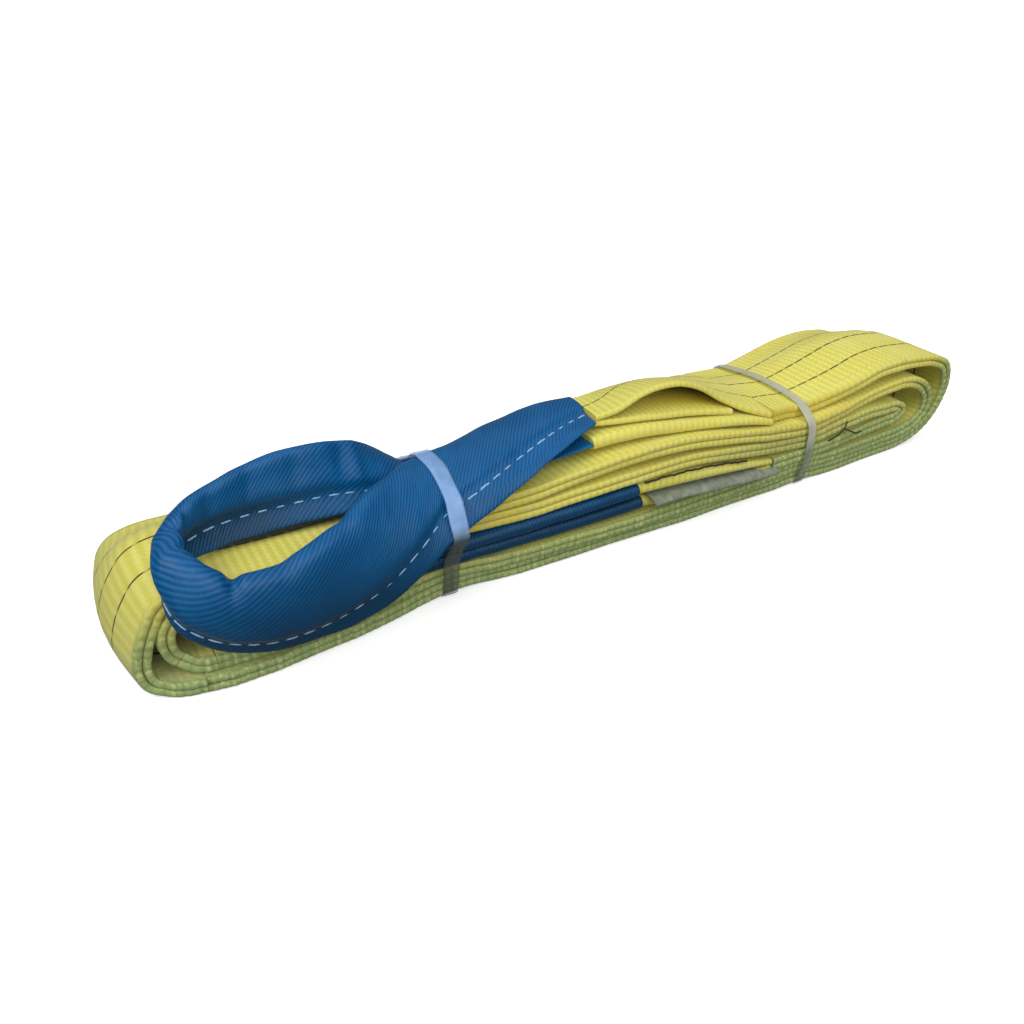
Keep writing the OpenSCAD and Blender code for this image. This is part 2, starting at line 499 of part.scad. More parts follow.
module upper_splice_stitches() { color("ivory") splice_lines(); }
module identity_label() { color("lightgrey") label(); }
module black_thread() {
    color("black") place() for (i = [0 : len(thread_rows) - 2]) hull() {
        translate(thread_rows[i]) sphere(d = 1.1, $fn = 12);
        translate(thread_rows[i + 1]) sphere(d = 1.1, $fn = 12);
    }
}
module thread_tail() {
    color("black") place() for (s = [-1, 1])
        translate([402 + s * 6, -4.4, 28]) rotate([0, s * 35, 0])
            cylinder(d = 0.8, h = 9, center = true, $fn = 16);
}
module left_tie() { color("white") ring(left_ring, left_tie_x, left_tie_w); }
module right_tie() { color("white") ring(right_ring, right_tie_x, right_tie_w); }

top_run_upper_ply();
top_run_lower_ply();
bottom_run_outer_ply();
bottom_run_inner_ply();
fourth_run_outer_ply();
fourth_run_inner_ply();
second_run_outer_ply();
second_run_inner_ply();
third_run_outer_ply();
third_run_inner_ply();
core_run_outer_ply();
core_run_inner_ply();
upper_eye_loop_webbing();
upper_eye_loop_sleeve();
upper_eye_loop_seam();
upper_eye_top_leg_webbing();
upper_eye_top_leg_sleeve();
upper_eye_top_leg_seam();
upper_eye_under_leg_webbing();
upper_eye_under_leg_sleeve();
upper_eye_under_leg_seam();
upper_eye_top_leg_outer_half();
upper_eye_top_leg_inner_half();
upper_eye_under_leg_bare();
lower_eye_webbing();
lower_eye_sleeve();
lower_eye_seam();
lower_eye_top_leg_bare();
lower_eye_under_leg_bare();
upper_splice_stitches();
identity_label();
black_thread();
thread_tail();
left_tie();
right_tie();
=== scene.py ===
# %% [markdown]
# # A flat web sling, folded and tied
#
# This notebook dresses a imported CAD model of a lifting sling: two plies of yellow woven
# polyester sewn together, an eye at each end in a blue wear sleeve, folded to and fro
# into a bundle and held by two ties of clear film.
#
# The CAD model fixes where everything is. It is loaded first, and its box is kept.

# %% Load the frame
import math

import bmesh
import bpy
import numpy as np
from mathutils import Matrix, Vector, noise


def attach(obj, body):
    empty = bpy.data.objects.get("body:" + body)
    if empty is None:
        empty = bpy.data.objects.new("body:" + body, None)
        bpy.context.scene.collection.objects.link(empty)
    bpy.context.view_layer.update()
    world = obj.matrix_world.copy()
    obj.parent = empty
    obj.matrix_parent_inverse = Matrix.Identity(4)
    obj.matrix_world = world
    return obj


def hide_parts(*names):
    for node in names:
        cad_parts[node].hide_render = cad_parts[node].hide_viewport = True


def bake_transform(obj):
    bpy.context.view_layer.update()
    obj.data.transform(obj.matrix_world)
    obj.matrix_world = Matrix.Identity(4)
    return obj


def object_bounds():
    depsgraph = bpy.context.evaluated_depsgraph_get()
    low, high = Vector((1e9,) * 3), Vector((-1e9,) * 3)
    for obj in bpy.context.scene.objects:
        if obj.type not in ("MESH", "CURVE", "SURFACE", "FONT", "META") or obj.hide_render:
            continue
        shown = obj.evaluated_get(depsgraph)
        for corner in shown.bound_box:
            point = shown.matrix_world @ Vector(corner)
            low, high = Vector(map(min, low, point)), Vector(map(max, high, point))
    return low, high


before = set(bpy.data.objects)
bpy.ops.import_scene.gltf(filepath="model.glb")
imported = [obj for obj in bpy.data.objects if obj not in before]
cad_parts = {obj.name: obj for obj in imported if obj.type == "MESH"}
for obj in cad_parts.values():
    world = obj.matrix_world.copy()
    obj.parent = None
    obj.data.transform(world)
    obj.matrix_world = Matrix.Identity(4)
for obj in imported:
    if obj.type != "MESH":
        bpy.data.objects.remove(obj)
cad_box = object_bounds()
size = [high - low for low, high in zip(*cad_box)]
print("frame:", len(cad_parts), "nodes, box", [round(s * 1000) for s in size], "mm")

# %% [markdown]
# ## Where things are
#
# The stations of the folds are given in millimetres from the near left bottom
# corner of the bundle: x along it, y away from the near side, z up. The frame is in
# metres, with its origin in the middle of the resting face. One small function takes
# points from the first to the second, so every table below can stay in plain numbers.

# %% From station numbers to the frame
MM = 0.001
CORNER = np.array([240.0, 45.0, 0.0])
LEFT_TIE = 141.0
RIGHT_TIE = 370.0


def to_frame(points):
    """Points in millimetres from the corner, as metres in the frame."""
    return (np.asarray(points, float) - CORNER) * MM


print("ties at x", to_frame([LEFT_TIE, 0, 0])[0], "and", to_frame([RIGHT_TIE, 0, 0])[0], "m")

# %% [markdown]
# ## Camera
#
# The bundle is seen from its near left, a little above: 29.5 degrees round from
# straight ahead and 31.3 degrees down, from close by, so that the near eye looks large.
# The camera is set before anything else, because every later choice of detail depends
# on how large a millimetre is in the picture at the near end.

# %% Camera
ROUND = 29.5
DOWN = 31.3
SENSOR = 36
FOCAL_SHARE = 918 / 1024

scene = bpy.context.scene
camera = bpy.data.objects.new("camera", bpy.data.cameras.new("camera"))
scene.collection.objects.link(camera)
camera.location = to_frame([-10.7, -331.3, 268.0])
camera.rotation_euler = (math.radians(90 - DOWN), 0, math.radians(-ROUND))
camera.data.sensor_width = SENSOR
camera.data.lens = SENSOR * FOCAL_SHARE
camera.data.clip_start = 0.01
scene.camera = camera
print("camera", round(camera.data.lens, 2), "mm")

# %% [markdown]
# ## Colours and nodes
#
# Colours are written as the hex values a painter or printer would use, and turned to
# the linear light that the renderer adds up. Materials and geometry are both node
# trees, and one small function adds any node to either kind: its settings are named
# arguments, and its inputs are a table of values, of sockets to link or of nodes.

# %% Colours, nodes and materials
def linear(code):
    """An sRGB hex colour as linear red, green and blue, and an alpha of 1."""
    parts = [int(code[i : i + 2], 16) / 255 for i in (1, 3, 5)]
    light = [p / 12.92 if p <= 0.04045 else ((p + 0.055) / 1.055) ** 2.4 for p in parts]
    return (*light, 1.0)


def node(tree, kind, inputs=None, **settings):
    """Adds a node to a tree, with its settings, its input values and its links.
    A node given as an input stands for its first output."""
    made = tree.nodes.new(kind)
    for key, value in settings.items():
        setattr(made, key, value)
    for key, value in (inputs or {}).items():
        if isinstance(value, bpy.types.Node):
            value = value.outputs[0]
        if isinstance(value, bpy.types.NodeSocket):
            tree.links.new(value, made.inputs[key])
        else:
            made.inputs[key].default_value = value
    return made


def new_material(name):
    """An empty node material and its tree."""
    material = bpy.data.materials.new(name)
    material.use_nodes = True
    material.node_tree.nodes.clear()
    return material, material.node_tree


# %% [markdown]
# A few kinds of node come back again and again. Each of these functions adds one of
# them, or a short row of them, through the function above.

# %% Short rows of nodes
def maths(tree, operation, *values):
    """One operation on one, two or three values."""
    return node(tree, "ShaderNodeMath", dict(enumerate(values)), operation=operation)


def chain(tree, value, *steps):
    """Operations one after the other. Each is its name and the values that follow."""
    for operation, *others in steps:
        value = maths(tree, operation, value, *others)
    return value


def product(tree, value, *others):
    """All the values multiplied."""
    return chain(tree, value, *(("MULTIPLY", other) for other in others))


def span(tree, value, *limits):
    """Moves a value from one range to another, and stops at both ends of it."""
    return node(tree, "ShaderNodeMapRange", dict(enumerate((value, *limits))))


def mix(tree, share, first, second):
    """The first colour, with a share of the second in it."""
    colours = {0: share, 6: first, 7: second}
    return node(tree, "ShaderNodeMix", colours, data_type="RGBA").outputs[2]


def ramp(tree, value, *stops):
    """A colour for a value, between two stops: each is a value and a hex colour."""
    made = node(tree, "ShaderNodeValToRGB", {0: value})
    for element, (place, code) in zip(made.color_ramp.elements, stops):
        element.position = place
        element.color = linear(code)
    return made


def cloud(tree, place, scale, detail=2.0):
    """Soft noise, from about 0.3 to 0.7."""
    return node(tree, "ShaderNodeTexNoise", {"Vector": place, "Scale": scale, "Detail": detail})


def bump(tree, height, strength, distance):
    """Raises a surface by a height from 0 to 1, times a distance in metres."""
    values = {"Strength": strength, "Distance": distance, "Height": height}
    return node(tree, "ShaderNodeBump", values)


def surface(tree, **looks):
    """Ends a material. The names of the looks are those of the inputs, with _ for a space."""
    inputs = {key.replace("_", " "): value for key, value in looks.items()}
    shader = node(tree, "ShaderNodeBsdfPrincipled", inputs)
    node(tree, "ShaderNodeOutputMaterial", {"Surface": shader})


def on_strip(tree):
    """Place across or round a strip, and place along it, in metres."""
    strip = node(tree, "ShaderNodeUVMap", uv_map="strip")
    return node(tree, "ShaderNodeSeparateXYZ", {0: strip}).outputs[0:2]


def in_frame(tree):
    """x, y and z of a point at rest, in metres."""
    spot = node(tree, "ShaderNodeTexCoord")
    return node(tree, "ShaderNodeSeparateXYZ", {0: spot.outputs["Object"]}).outputs[0:3]


def facing(tree):
    """x, y and z of the direction out of the surface."""
    out = node(tree, "ShaderNodeNewGeometry")
    return node(tree, "ShaderNodeSeparateXYZ", {0: out.outputs["Normal"]}).outputs[0:3]


def kept_within(tree, share, *limits):
    """A share that fades out. Each limit is a place, where it is gone and where it is full."""
    for place, gone, full in limits:
        share = product(tree, share, span(tree, place, gone, full, 0.0, 1.0))
    return share


# %% [markdown]
# ## Floor, sky and lamps
#
# The bundle lies on a plain white floor. A floor that is bright enough to look white
# would also throw a lot of light back up, so the material asks which kind of ray is
# looking: the camera sees white that still takes a shadow, and light bouncing off it
# sees a dark grey. That keeps the lowest layers in the shade, which sets the bundle
# down on the floor.

# %% Floor
bpy.ops.mesh.primitive_plane_add(size=30, location=(0, 0, -0.0004))
floor = bpy.context.object
floor.name = "floor"
white_floor, tree = new_material("matt white paper")
ray = node(tree, "ShaderNodeLightPath")
grey = node(tree, "ShaderNodeBsdfDiffuse", {"Color": linear("#787A70")})
seen = node(tree, "ShaderNodeBsdfDiffuse", {"Color": linear("#FFFFFF")})
lit = node(tree, "ShaderNodeEmission", {"Color": linear("#FFFFFF"), "Strength": 0.42})
bright = node(tree, "ShaderNodeAddShader", {0: seen, 1: lit})
either = node(tree, "ShaderNodeMixShader", {0: ray.outputs["Is Camera Ray"], 1: grey, 2: bright})
node(tree, "ShaderNodeOutputMaterial", {"Surface": either})
floor.data.materials.append(white_floor)
print("floor", round(floor.dimensions.x), "m wide")

# %% [markdown]
# The light is four very wide lamps, so far off that they light the whole floor evenly:
# a key from high on the left, a broad soft one overhead, one from the front and a weak
# low one from the front left. Surfaces that face up come out about as bright as their
# own colour, and the sides that face the camera stay darker, which is what shows the
# folds. The sky adds a little even light. It is white where it is seen straight on or
# through the film.

# %% Lamps and sky
def far_lamp(name, toward, strength, width):
    """A lamp at a great distance. toward points to it, width is its size in degrees."""
    lamp = bpy.data.objects.new(name, bpy.data.lights.new(name, "SUN"))
    lamp.data.energy = strength * math.pi
    lamp.data.angle = math.radians(width)
    lamp.rotation_euler = Vector(toward).to_track_quat("Z", "Y").to_euler()
    scene.collection.objects.link(lamp)


far_lamp("key lamp", (-0.6, -0.1, 0.75), strength=0.34, width=35)
far_lamp("overhead lamp", (0.05, 0.1, 1.0), strength=0.36, width=100)
far_lamp("front lamp", (0.1, -0.8, 0.6), strength=0.4, width=60)
far_lamp("low lamp", (-0.5, -0.8, 0.33), strength=0.2, width=50)
sky = bpy.data.worlds.new("even sky")
scene.world = sky
sky.use_nodes = True
sky.node_tree.nodes.clear()
tree = sky.node_tree
ray = node(tree, "ShaderNodeLightPath")
plain = node(tree, "ShaderNodeBackground", {"Color": linear("#EAF2FC"), "Strength": 0.08})
paper = node(tree, "ShaderNodeBackground", {"Color": linear("#FFFFFF"), "Strength": 1.0})
any_ray = maths(tree, "MAXIMUM", ray.outputs["Is Camera Ray"], ray.outputs["Is Transmission Ray"])
either = node(tree, "ShaderNodeMixShader", {0: any_ray, 1: plain, 2: paper})
node(tree, "ShaderNodeOutputWorld", {"Surface": either})
scene.view_settings.view_transform = "Standard"
print("stage ready")

# %% [markdown]
# ## Webbing material
#
# Sling webbing is heavy woven polyester. Warp threads run along it in narrow columns,
# and each weft pick presses a low rib across it, about one every 4 mm. The pattern
# follows the strip round its folds, so it is drawn in the strip's own UV map, whose
# unit is the metre: U is the place across the width and V the distance along.
#
# The height of the weave is built first, then used twice: as bump, and to darken the
# colour between the threads, where real cloth holds shadow and dirt. Three thin black
# marker threads, one for each tonne, are woven in at the quarters of the width. They
# dive under a pick now and then, so the line is broken.

# %% Weave of the webbing
PLY = 3.5
GAP = 0.3
WIDTH = 90.0
PICK = 4.0
COLUMN = 1.6
TURN = 2 * math.pi


def weave_height(tree, across, along, column, pick):
    """Low ribs across and narrow columns along, from 0 in the grooves to 1 on top."""
    strands = chain(tree, across, ("MULTIPLY", math.pi / column), ("SINE",), ("ABSOLUTE",))
    shift = chain(tree, across, ("DIVIDE", column), ("FLOOR",), ("MULTIPLY", pick / 2))
    moved = maths(tree, "ADD", along, shift)
    floats = chain(tree, moved, ("MULTIPLY", math.pi / pick), ("SINE",), ("ABSOLUTE",))
    ribs = chain(tree, along, ("MULTIPLY", TURN / pick), ("SINE",), ("MULTIPLY_ADD", 0.5, 0.5))
    knots = product(tree, strands, floats, 0.35)
    return maths(tree, "MULTIPLY_ADD", ribs, 0.65, knots)


webbing, tree = new_material("woven polyester webbing")
across, along = on_strip(tree)
height = weave_height(tree, across, along, COLUMN * MM, PICK * MM)
columns = node(tree, "ShaderNodeCombineXYZ", {0: across, 1: along})
streaks = node(tree, "ShaderNodeMapping", {0: columns, "Scale": (620, 22, 1)})
streaks = cloud(tree, streaks, 1.0, 3.0)
patches = node(tree, "ShaderNodeMapping", {0: columns, "Scale": (34, 26, 1)})
patches = cloud(tree, patches, 1.0, 2.0)
lemon = ramp(tree, height, (0.0, "#D3CA4A"), (0.85, "#EDE678"))
mixed = mix(tree, span(tree, streaks, 0.42, 0.7, 0.0, 0.35), lemon, linear("#DDD052"))
mixed = mix(tree, span(tree, patches, 0.45, 0.75, 0.0, 0.3), mixed, linear("#F2EE9C"))
print("webbing: ribs every", PICK, "mm, columns every", COLUMN, "mm")

# %% [markdown]
# The cloth turns greener and darker towards the floor. The tint reaches higher near both
# ends of the bundle, where the lowest layers rise from the floor in their folds.

# %% Greener and darker towards the floor
x, y, z = in_frame(tree)
right_end = span(tree, x, 0.0, 0.08, 0.0, 0.012)
last_fold = span(tree, x, 0.215, 0.245, 0.0, 0.024)
left_end = span(tree, x, -0.235, -0.19, 0.014, 0.0)
raised = chain(tree, right_end, ("ADD", last_fold), ("ADD", left_end))
over_floor = maths(tree, "SUBTRACT", z, raised)
low = span(tree, over_floor, 0.010, 0.034, 1.0, 0.0)
mixed = mix(tree, product(tree, low, 0.35), mixed, linear("#AEB269"))
mixed = mix(tree, span(tree, z, 0.008, 0.018, 0.65, 0.0), mixed, linear("#9CA378"))
print("dirt: up to 34 mm over the floor")

# %% [markdown]
# The two edges are woven tighter, from greener thread, and their darker green is partly
# painted shade on the sides. Each pick turns round there: the notch between two turns is
# painted dark as shade, and here and there a pale fleck is a painted glint. Near the two
# ties the edges are painted a deeper mustard, as shade between the layers that meet there.

# %% Woven edges
TIES_MIDDLE = (LEFT_TIE + RIGHT_TIE) / 2 - CORNER[0]
TIES_APART = RIGHT_TIE - LEFT_TIE

from_edge = chain(tree, across, ("SUBTRACT", WIDTH / 2 * MM), ("ABSOLUTE",))
# The edge colour is partly the greener thread and partly painted shade on the sides
edge = span(tree, from_edge, 0.0415, 0.0436, 0.0, 0.9)
from_middle = chain(tree, x, ("SUBTRACT", TIES_MIDDLE * MM), ("ABSOLUTE",))
from_tie = chain(tree, from_middle, ("SUBTRACT", TIES_APART / 2 * MM), ("ABSOLUTE",))
# Painted shade: near the two ties the edges turn a deep mustard, the shade between layers
mustard_shade = span(tree, from_tie, 0.012, 0.05, 0.8, 0.0)
high_edge = mix(tree, mustard_shade, linear("#DDD262"), linear("#D6BC3C"))
edge_colour = mix(tree, low, high_edge, linear("#8FA466"))
# Painted shade in the notch between two turns of a pick, stronger near the floor
pick_turns = chain(tree, along, ("MULTIPLY", TURN / (PICK * MM)), ("COSINE",))
pick_turns = span(tree, pick_turns, -1.0, 0.2, 1.0, 0.0)
shade = product(tree, span(tree, low, 0.0, 1.0, 0.16, 0.45), pick_turns)
dark_turn = mix(tree, low, linear("#B9A035"), linear("#6F7A38"))
edge_colour = mix(tree, shade, edge_colour, dark_turn)
# Painted glints: pale flecks on the turns of the edge
painted_glints = cloud(tree, columns, 520.0, 1.0)
painted_glints = span(tree, painted_glints, 0.52, 0.68, 0.0, 0.6)
edge_colour = mix(tree, painted_glints, edge_colour, linear("#CFD190"))
mixed = mix(tree, edge, mixed, edge_colour)
print("edges: squeezed near the two ties,", TIES_APART, "mm apart")

# %% [markdown]
# The marker threads lie at the quarters of the width. The tree finds the distance to
# the nearest one, and draws a dash along it.

# %% Marker threads
QUARTER = WIDTH / 4

quarter = maths(tree, "DIVIDE", across, QUARTER * MM)
nearest = chain(tree, quarter, ("ROUND",), ("MAXIMUM", 1.0), ("MINIMUM", 3.0))
apart = chain(tree, quarter, ("SUBTRACT", nearest), ("ABSOLUTE",))
line = span(tree, apart, 0.018, 0.034, 1.0, 0.0)
dash = chain(tree, along, ("MULTIPLY", TURN / (2 * PICK * MM)), ("SINE",))
dash = span(tree, dash, -1.0, -0.5, 0.35, 1.0)
mixed = mix(tree, product(tree, line, dash), mixed, linear("#3B3516"))
dust = cloud(tree, columns, 900.0, 2.0)
print("markers at", QUARTER, 2 * QUARTER, 3 * QUARTER, "mm")

# %% [markdown]
# The hollow side of the springy fold is painted a deep yellow glow, standing for the light
# that comes through the cloth. The upper face of the part that lies under the arch has the
# painted glow too. That part has a copy of this material, in which one node turns it up.
#
# Where the far wall of the eye covers the top layer, hardly any light comes through.
# The node that measures how much lies near and above drives this shade, so it fades as
# the eye is lifted. Lifted far, it leaves a small patch close under the bend.

# %% Painted glow and shade of the folds
under = span(tree, facing(tree)[2], 0.15, -0.25, 0.0, 1.0)
near_fold = span(tree, x, 0.01, 0.05, 0.0, 1.0)
before_tie = span(tree, x, 0.098, 0.112, 1.0, 0.0)
high_up = span(tree, z, 0.040, 0.048, 0.0, 0.85)
glow = product(tree, under, near_fold, before_tie, high_up)
glow = product(tree, glow, span(tree, from_edge, 0.040, 0.043, 1.0, 0.0))
inside = span(tree, y, -0.041, -0.024, 0.0, 1.0)
in_fold = product(tree, inside, near_fold, 0.0)
in_fold.name = "painted glow in the fold"
glow = maths(tree, "MAXIMUM", glow, in_fold)
# Painted glow: a deep yellow on the hollow side of the fold
mixed = mix(tree, glow, mixed, linear("#E4D600"))
near_by = node(tree, "ShaderNodeAmbientOcclusion", {"Distance": 0.03}, samples=8)
covered = span(tree, near_by.outputs["AO"], 0.96, 0.8, 0.0, 1.0)
shadow = product(tree, span(tree, z, 0.040, 0.044, 0.0, 0.93), covered)
shadow = kept_within(
    tree, shadow,
    (x, -0.214, -0.196), (x, -0.12, -0.135), (y, -0.0315, -0.0280), (y, -0.008, -0.013),
)
mixed = mix(tree, shadow, mixed, linear("#1C190C"))
print("folds: glow before the right tie, shade under the eye")

# %% Webbing surface
relief = maths(tree, "MULTIPLY_ADD", dust, 0.25, height)
raised = bump(tree, relief, 0.5, 0.0004)
rough = span(tree, height, 0.0, 1.0, 0.72, 0.5)
surface(
    tree, Base_Color=mixed, Roughness=rough, Normal=raised, Specular_IOR_Level=0.4,
    Sheen_Weight=0.15, Sheen_Roughness=0.4,
)
glow_painted_webbing = webbing.copy()
glow_painted_webbing.name = "polyester webbing with painted glow"
glow_painted_webbing.node_tree.nodes["painted glow in the fold"].inputs[1].default_value = 0.85
print(len(tree.nodes), "nodes in the webbing")

# %% [markdown]
# ## Smooth paths
#
# A strip that is folded to and fro is easiest to describe by a few stations: where its
# near and far edges are at each turn. The shape between two stations is a cubic that
# takes its slope from the neighbours, weighted by distance, as in the CAD source, so
# both models follow the same curve. The path is then cut into equal steps of about a
# millimetre, short enough for the ribs of the woven edge.

# %% Paths through stations
def slopes_of(rows):
    """Slope at each station, weighted by the distances on both sides."""
    gaps = np.linalg.norm(np.diff(rows, axis=0), axis=1)[:, None]
    rates = np.diff(rows, axis=0) / gaps
    inner = (rates[1:] * gaps[:-1] + rates[:-1] * gaps[1:]) / (gaps[:-1] + gaps[1:])
    return np.vstack([rates[:1], inner, rates[-1:]]), gaps


def smooth_path(rows, step, middle):
    """Rows of numbers at equal steps along a smooth path, the distance run, and the
    station number at each step. middle() gives the point of a row that steps follow."""
    rows = np.array(rows, float)
    slopes, gaps = slopes_of(rows)
    fine = []
    number = []
    for i in range(len(rows) - 1):
        t = np.linspace(0, 1, 24, endpoint=False)[:, None]
        here = (2 * t**3 - 3 * t**2 + 1) * rows[i] + (t**3 - 2 * t**2 + t) * gaps[i] * slopes[i]
        there = (3 * t**2 - 2 * t**3) * rows[i + 1] + (t**3 - t**2) * gaps[i] * slopes[i + 1]
        fine.append(here + there)
        number.append(i + t[:, 0])
    fine = np.vstack([*fine, rows[-1:]])
    number = np.append(np.concatenate(number), len(rows) - 1)
    run = np.linalg.norm(np.diff(middle(fine), axis=0), axis=1)
    run = np.append(0, np.cumsum(run))
    count = max(2, round(run[-1] / step))
    at = np.linspace(0, run[-1], count + 1)
    even = np.column_stack([np.interp(at, run, fine[:, c]) for c in range(rows.shape[1])])
    return even, at, np.interp(at, run, number)


def heading(curve):
    """Unit direction at each point of a curve."""
    d = np.gradient(curve, axis=0)
    return d / np.linalg.norm(d, axis=1)[:, None]


# %% [markdown]
# ## A skin through sections
#
# Every strip and tube here is a closed outline swept along a path, so one function
# turns a block of points, station by station, into a mesh. It writes the UV map from a
# second block, closes the two ends, and makes all faces point outwards.

# %% Mesh from sections
def add_object(name, mesh):
    """A new object in the scene."""
    made = bpy.data.objects.new(name, mesh)
    scene.collection.objects.link(made)
    return made


def strip_uv(across, at):
    """UV of a block of points, from millimetres across and along. across has a value for
    each place, or for each place at each station."""
    across = np.broadcast_to(across, (len(at), np.shape(across)[-1]))
    return np.dstack([across, np.repeat(at[:, None], across.shape[1], axis=1)]) * MM


def skin(name, points, uv, material, closed_ends=True, wrap=None):
    """A mesh through points[station, place], with uv[station, place] in metres.
    wrap is the U of the first point once the outline has gone all the way round."""
    stations, places = points.shape[:2]
    mesh = bpy.data.meshes.new(name)
    index = np.arange(stations * places).reshape(stations, places)
    after = np.roll(index, -1, axis=1)
    quads = np.stack([index[:-1], after[:-1], after[1:], index[1:]], axis=-1).reshape(-1, 4)
    faces = [tuple(int(v) for v in q) for q in quads]
    if closed_ends:
        faces.append(tuple(int(v) for v in index[0][::-1]))
        faces.append(tuple(int(v) for v in index[-1]))
    mesh.from_pydata([tuple(p) for p in to_frame(points).reshape(-1, 3)], [], faces)
    flat = uv.reshape(-1, 2)
    layer = mesh.uv_layers.new(name="strip")
    corner = np.empty(len(mesh.loops), dtype=np.int64)
    mesh.loops.foreach_get("vertex_index", corner)
    spots = flat[corner].copy()
    if wrap is not None:
        sides = len(quads)
        place_number = corner % places
        block = np.arange(sides * 4).reshape(-1, 4)
        last = place_number[: sides * 4].reshape(-1, 4).max(axis=1) == places - 1
        seam = last[:, None] & (place_number[block] == 0)
        rows = corner[block][seam] // places
        spots[block[seam], 0] = wrap[rows]
    layer.data.foreach_set("uv", spots.astype(np.float32).ravel())
    made = add_object(name, mesh)
    mesh.materials.append(material)
    work = bmesh.new()
    work.from_mesh(mesh)
    bmesh.ops.recalc_face_normals(work, faces=work.faces)
    work.to_mesh(mesh)
    work.free()
    for face in mesh.polygons:
        face.use_smooth = len(face.vertices) == 4
    return made


# %% [markdown]
# ## The folded body
#
# The body of the sling is one long duplex strip. From the upper eye it runs to the
# right end, turns under the whole stack, and then winds inwards run by run. The tables
# hold its stations: near edge x and z, far edge x and z, how far the middle of a fold
# swells, and how much the near edge is lifted.
#
# All six runs are joined into one table first, so the curve is smooth where one run
# meets the next, and cut into pieces afterwards.

# %% Stations of the six runs
def over_ties(low, high):
    """Stations of a flat layer, from right to left. It is high where a tie passes below."""
    places = (402, 390, 378, 362, 350, 338, 177, 165, 152, 134, 121, 109)
    heights = [high if x in (378, 362, 152, 134) else low for x in places]
    return [[x, z, x, z, 0, 0] for x, z in zip(places, heights)]


runs = {
    "top_run": [
        [345, 48.6, 345, 41.4, 0, -1], [370, 45.6, 370, 42.1, 0, -1.4],
        [400, 51.4, 400, 44.4, 0, -1], [425, 57.6, 425, 47.2, 0, 0], [445, 59, 445, 47.4, 0, 0]
    ],
    "bottom_run": [
        [446, 59, 446, 47.4, 0, 0], [460, 58, 459, 46.6, 0, 0], [475, 55.2, 473, 43.6, 0, 0],
        [486, 49, 483.6, 36.4, 1, 0], [490, 37.4, 487, 27, 1, 0], [487.6, 25, 482.8, 16.6, 1, 0],
        [480.5, 15, 473, 9, 1, 0], [470, 8, 462, 5, 0, 0], [456, 4.4, 450, 3.8, 0, 0],
        [443, 3.65, 438, 3.65, 0, 0], [430, 3.65, 425, 3.65, 0, 0],
        *over_ties(3.65, 4.6), [34, 3.65, 34, 3.65, 0, 0], [22, 3.65, 22, 3.65, 0, 0]
    ],
    "fourth_run": [
        [21, 3.65, 21, 3.65, 0, 0], [9, 3.8, 5, 4.6, -4, 0], [1.6, 6.2, -1.4, 8.5, -6.6, 0],
        [-0.4, 13, -2, 15, -7, 0], [1.8, 24, 0.6, 21, -6.6, 0], [6.4, 35, 6, 25.3, -5, 0],
        [11, 42, 13, 27.3, -3.2, 0], [18, 45.4, 20, 27.9, -1, 0], [30, 46.2, 30, 27.9, 0, 0],
        [60, 45.8, 60, 27.8, 0, 0], [100, 44.8, 100, 27.6, 0, 0], [143, 43.8, 143, 27.4, 0, 0],
        [185, 44.8, 185, 27.6, 0, 1], [215, 46.7, 215, 28, 0, 2.7], [250, 47.8, 250, 28.8, 0, 4.4],
        [285, 46, 285, 30.4, 0, 4], [320, 42.2, 320, 32.9, 0, 1.4], [345, 39, 345, 33.8, 0, 0],
        [370, 36.6, 370, 34.6, 0, 0], [400, 39.8, 400, 35.3, 0, 0], [425, 43.6, 425, 35.8, 0, 0],
        [446, 46, 446, 36, 0, 0]
    ],
    "second_run": [
        [447, 46, 447, 36, 0, 0], [459, 44.6, 459, 34.6, 0, 0], [469, 39.5, 468, 30.5, 0, 0],
        [475.3, 31, 472.6, 24, 0, 0], [474.8, 22, 470, 17, 0, 0], [467.5, 15, 462, 12.8, 0, 0],
        [455, 12, 452, 11.5, 0, 0], [440, 11.3, 440, 11.3, 0, 0],
        *over_ties(11.3, 12.2), [40, 11.3, 34, 11.3, 0, 0], [28, 11.3, 22, 11.3, 0, 0]
    ],
    "third_run": [
        [27, 11.3, 21, 11.3, 0, 0], [19, 12.4, 13, 11.8, -1, 0], [12.6, 17.5, 8.6, 15.6, -3, 0],
        [11, 25, 13, 19.6, -4, 0], [13.5, 32.5, 20, 20, -3, 0], [20, 37.2, 26, 20, -1, 0],
        [31, 38.4, 34, 20, 0, 0], [60, 38, 60, 20, 0, 0], [100, 37, 100, 19.8, 0, 0],
        [143, 36.1, 143, 19.7, 0, 0], [185, 37, 185, 19.8, 0, 0], [215, 38.9, 215, 20.2, 0, 0.3],
        [250, 40.1, 250, 21, 0, 0.7], [285, 38, 285, 22.8, 0, 1.6], [320, 33.8, 320, 25.5, 0, 0.6],
        [345, 30.8, 345, 26.3, 0, -0.4], [370, 28.6, 370, 27.1, 0, 0],
        [400, 31.4, 400, 27.7, 0, 0], [425, 32.4, 425, 28, 0, 0], [440, 31.6, 440, 28, 0, 0]
    ],
    "core_run": [
        [441, 31.6, 441, 28, 0, 0], [449, 30.6, 448, 27.6, 0, 0], [453.8, 27, 452.4, 24, 0, 0],
        [449, 23.4, 448, 20.3, 0, 0], [440, 22.6, 440, 19.7, 0, 0], [425, 21.8, 425, 19.5, 0, 0],
        [400, 20.6, 400, 19.4, 0, 0], [370, 20.2, 370, 19.7, 0, 0], [345, 19.6, 345, 18.8, 0, 0]
    ],
}
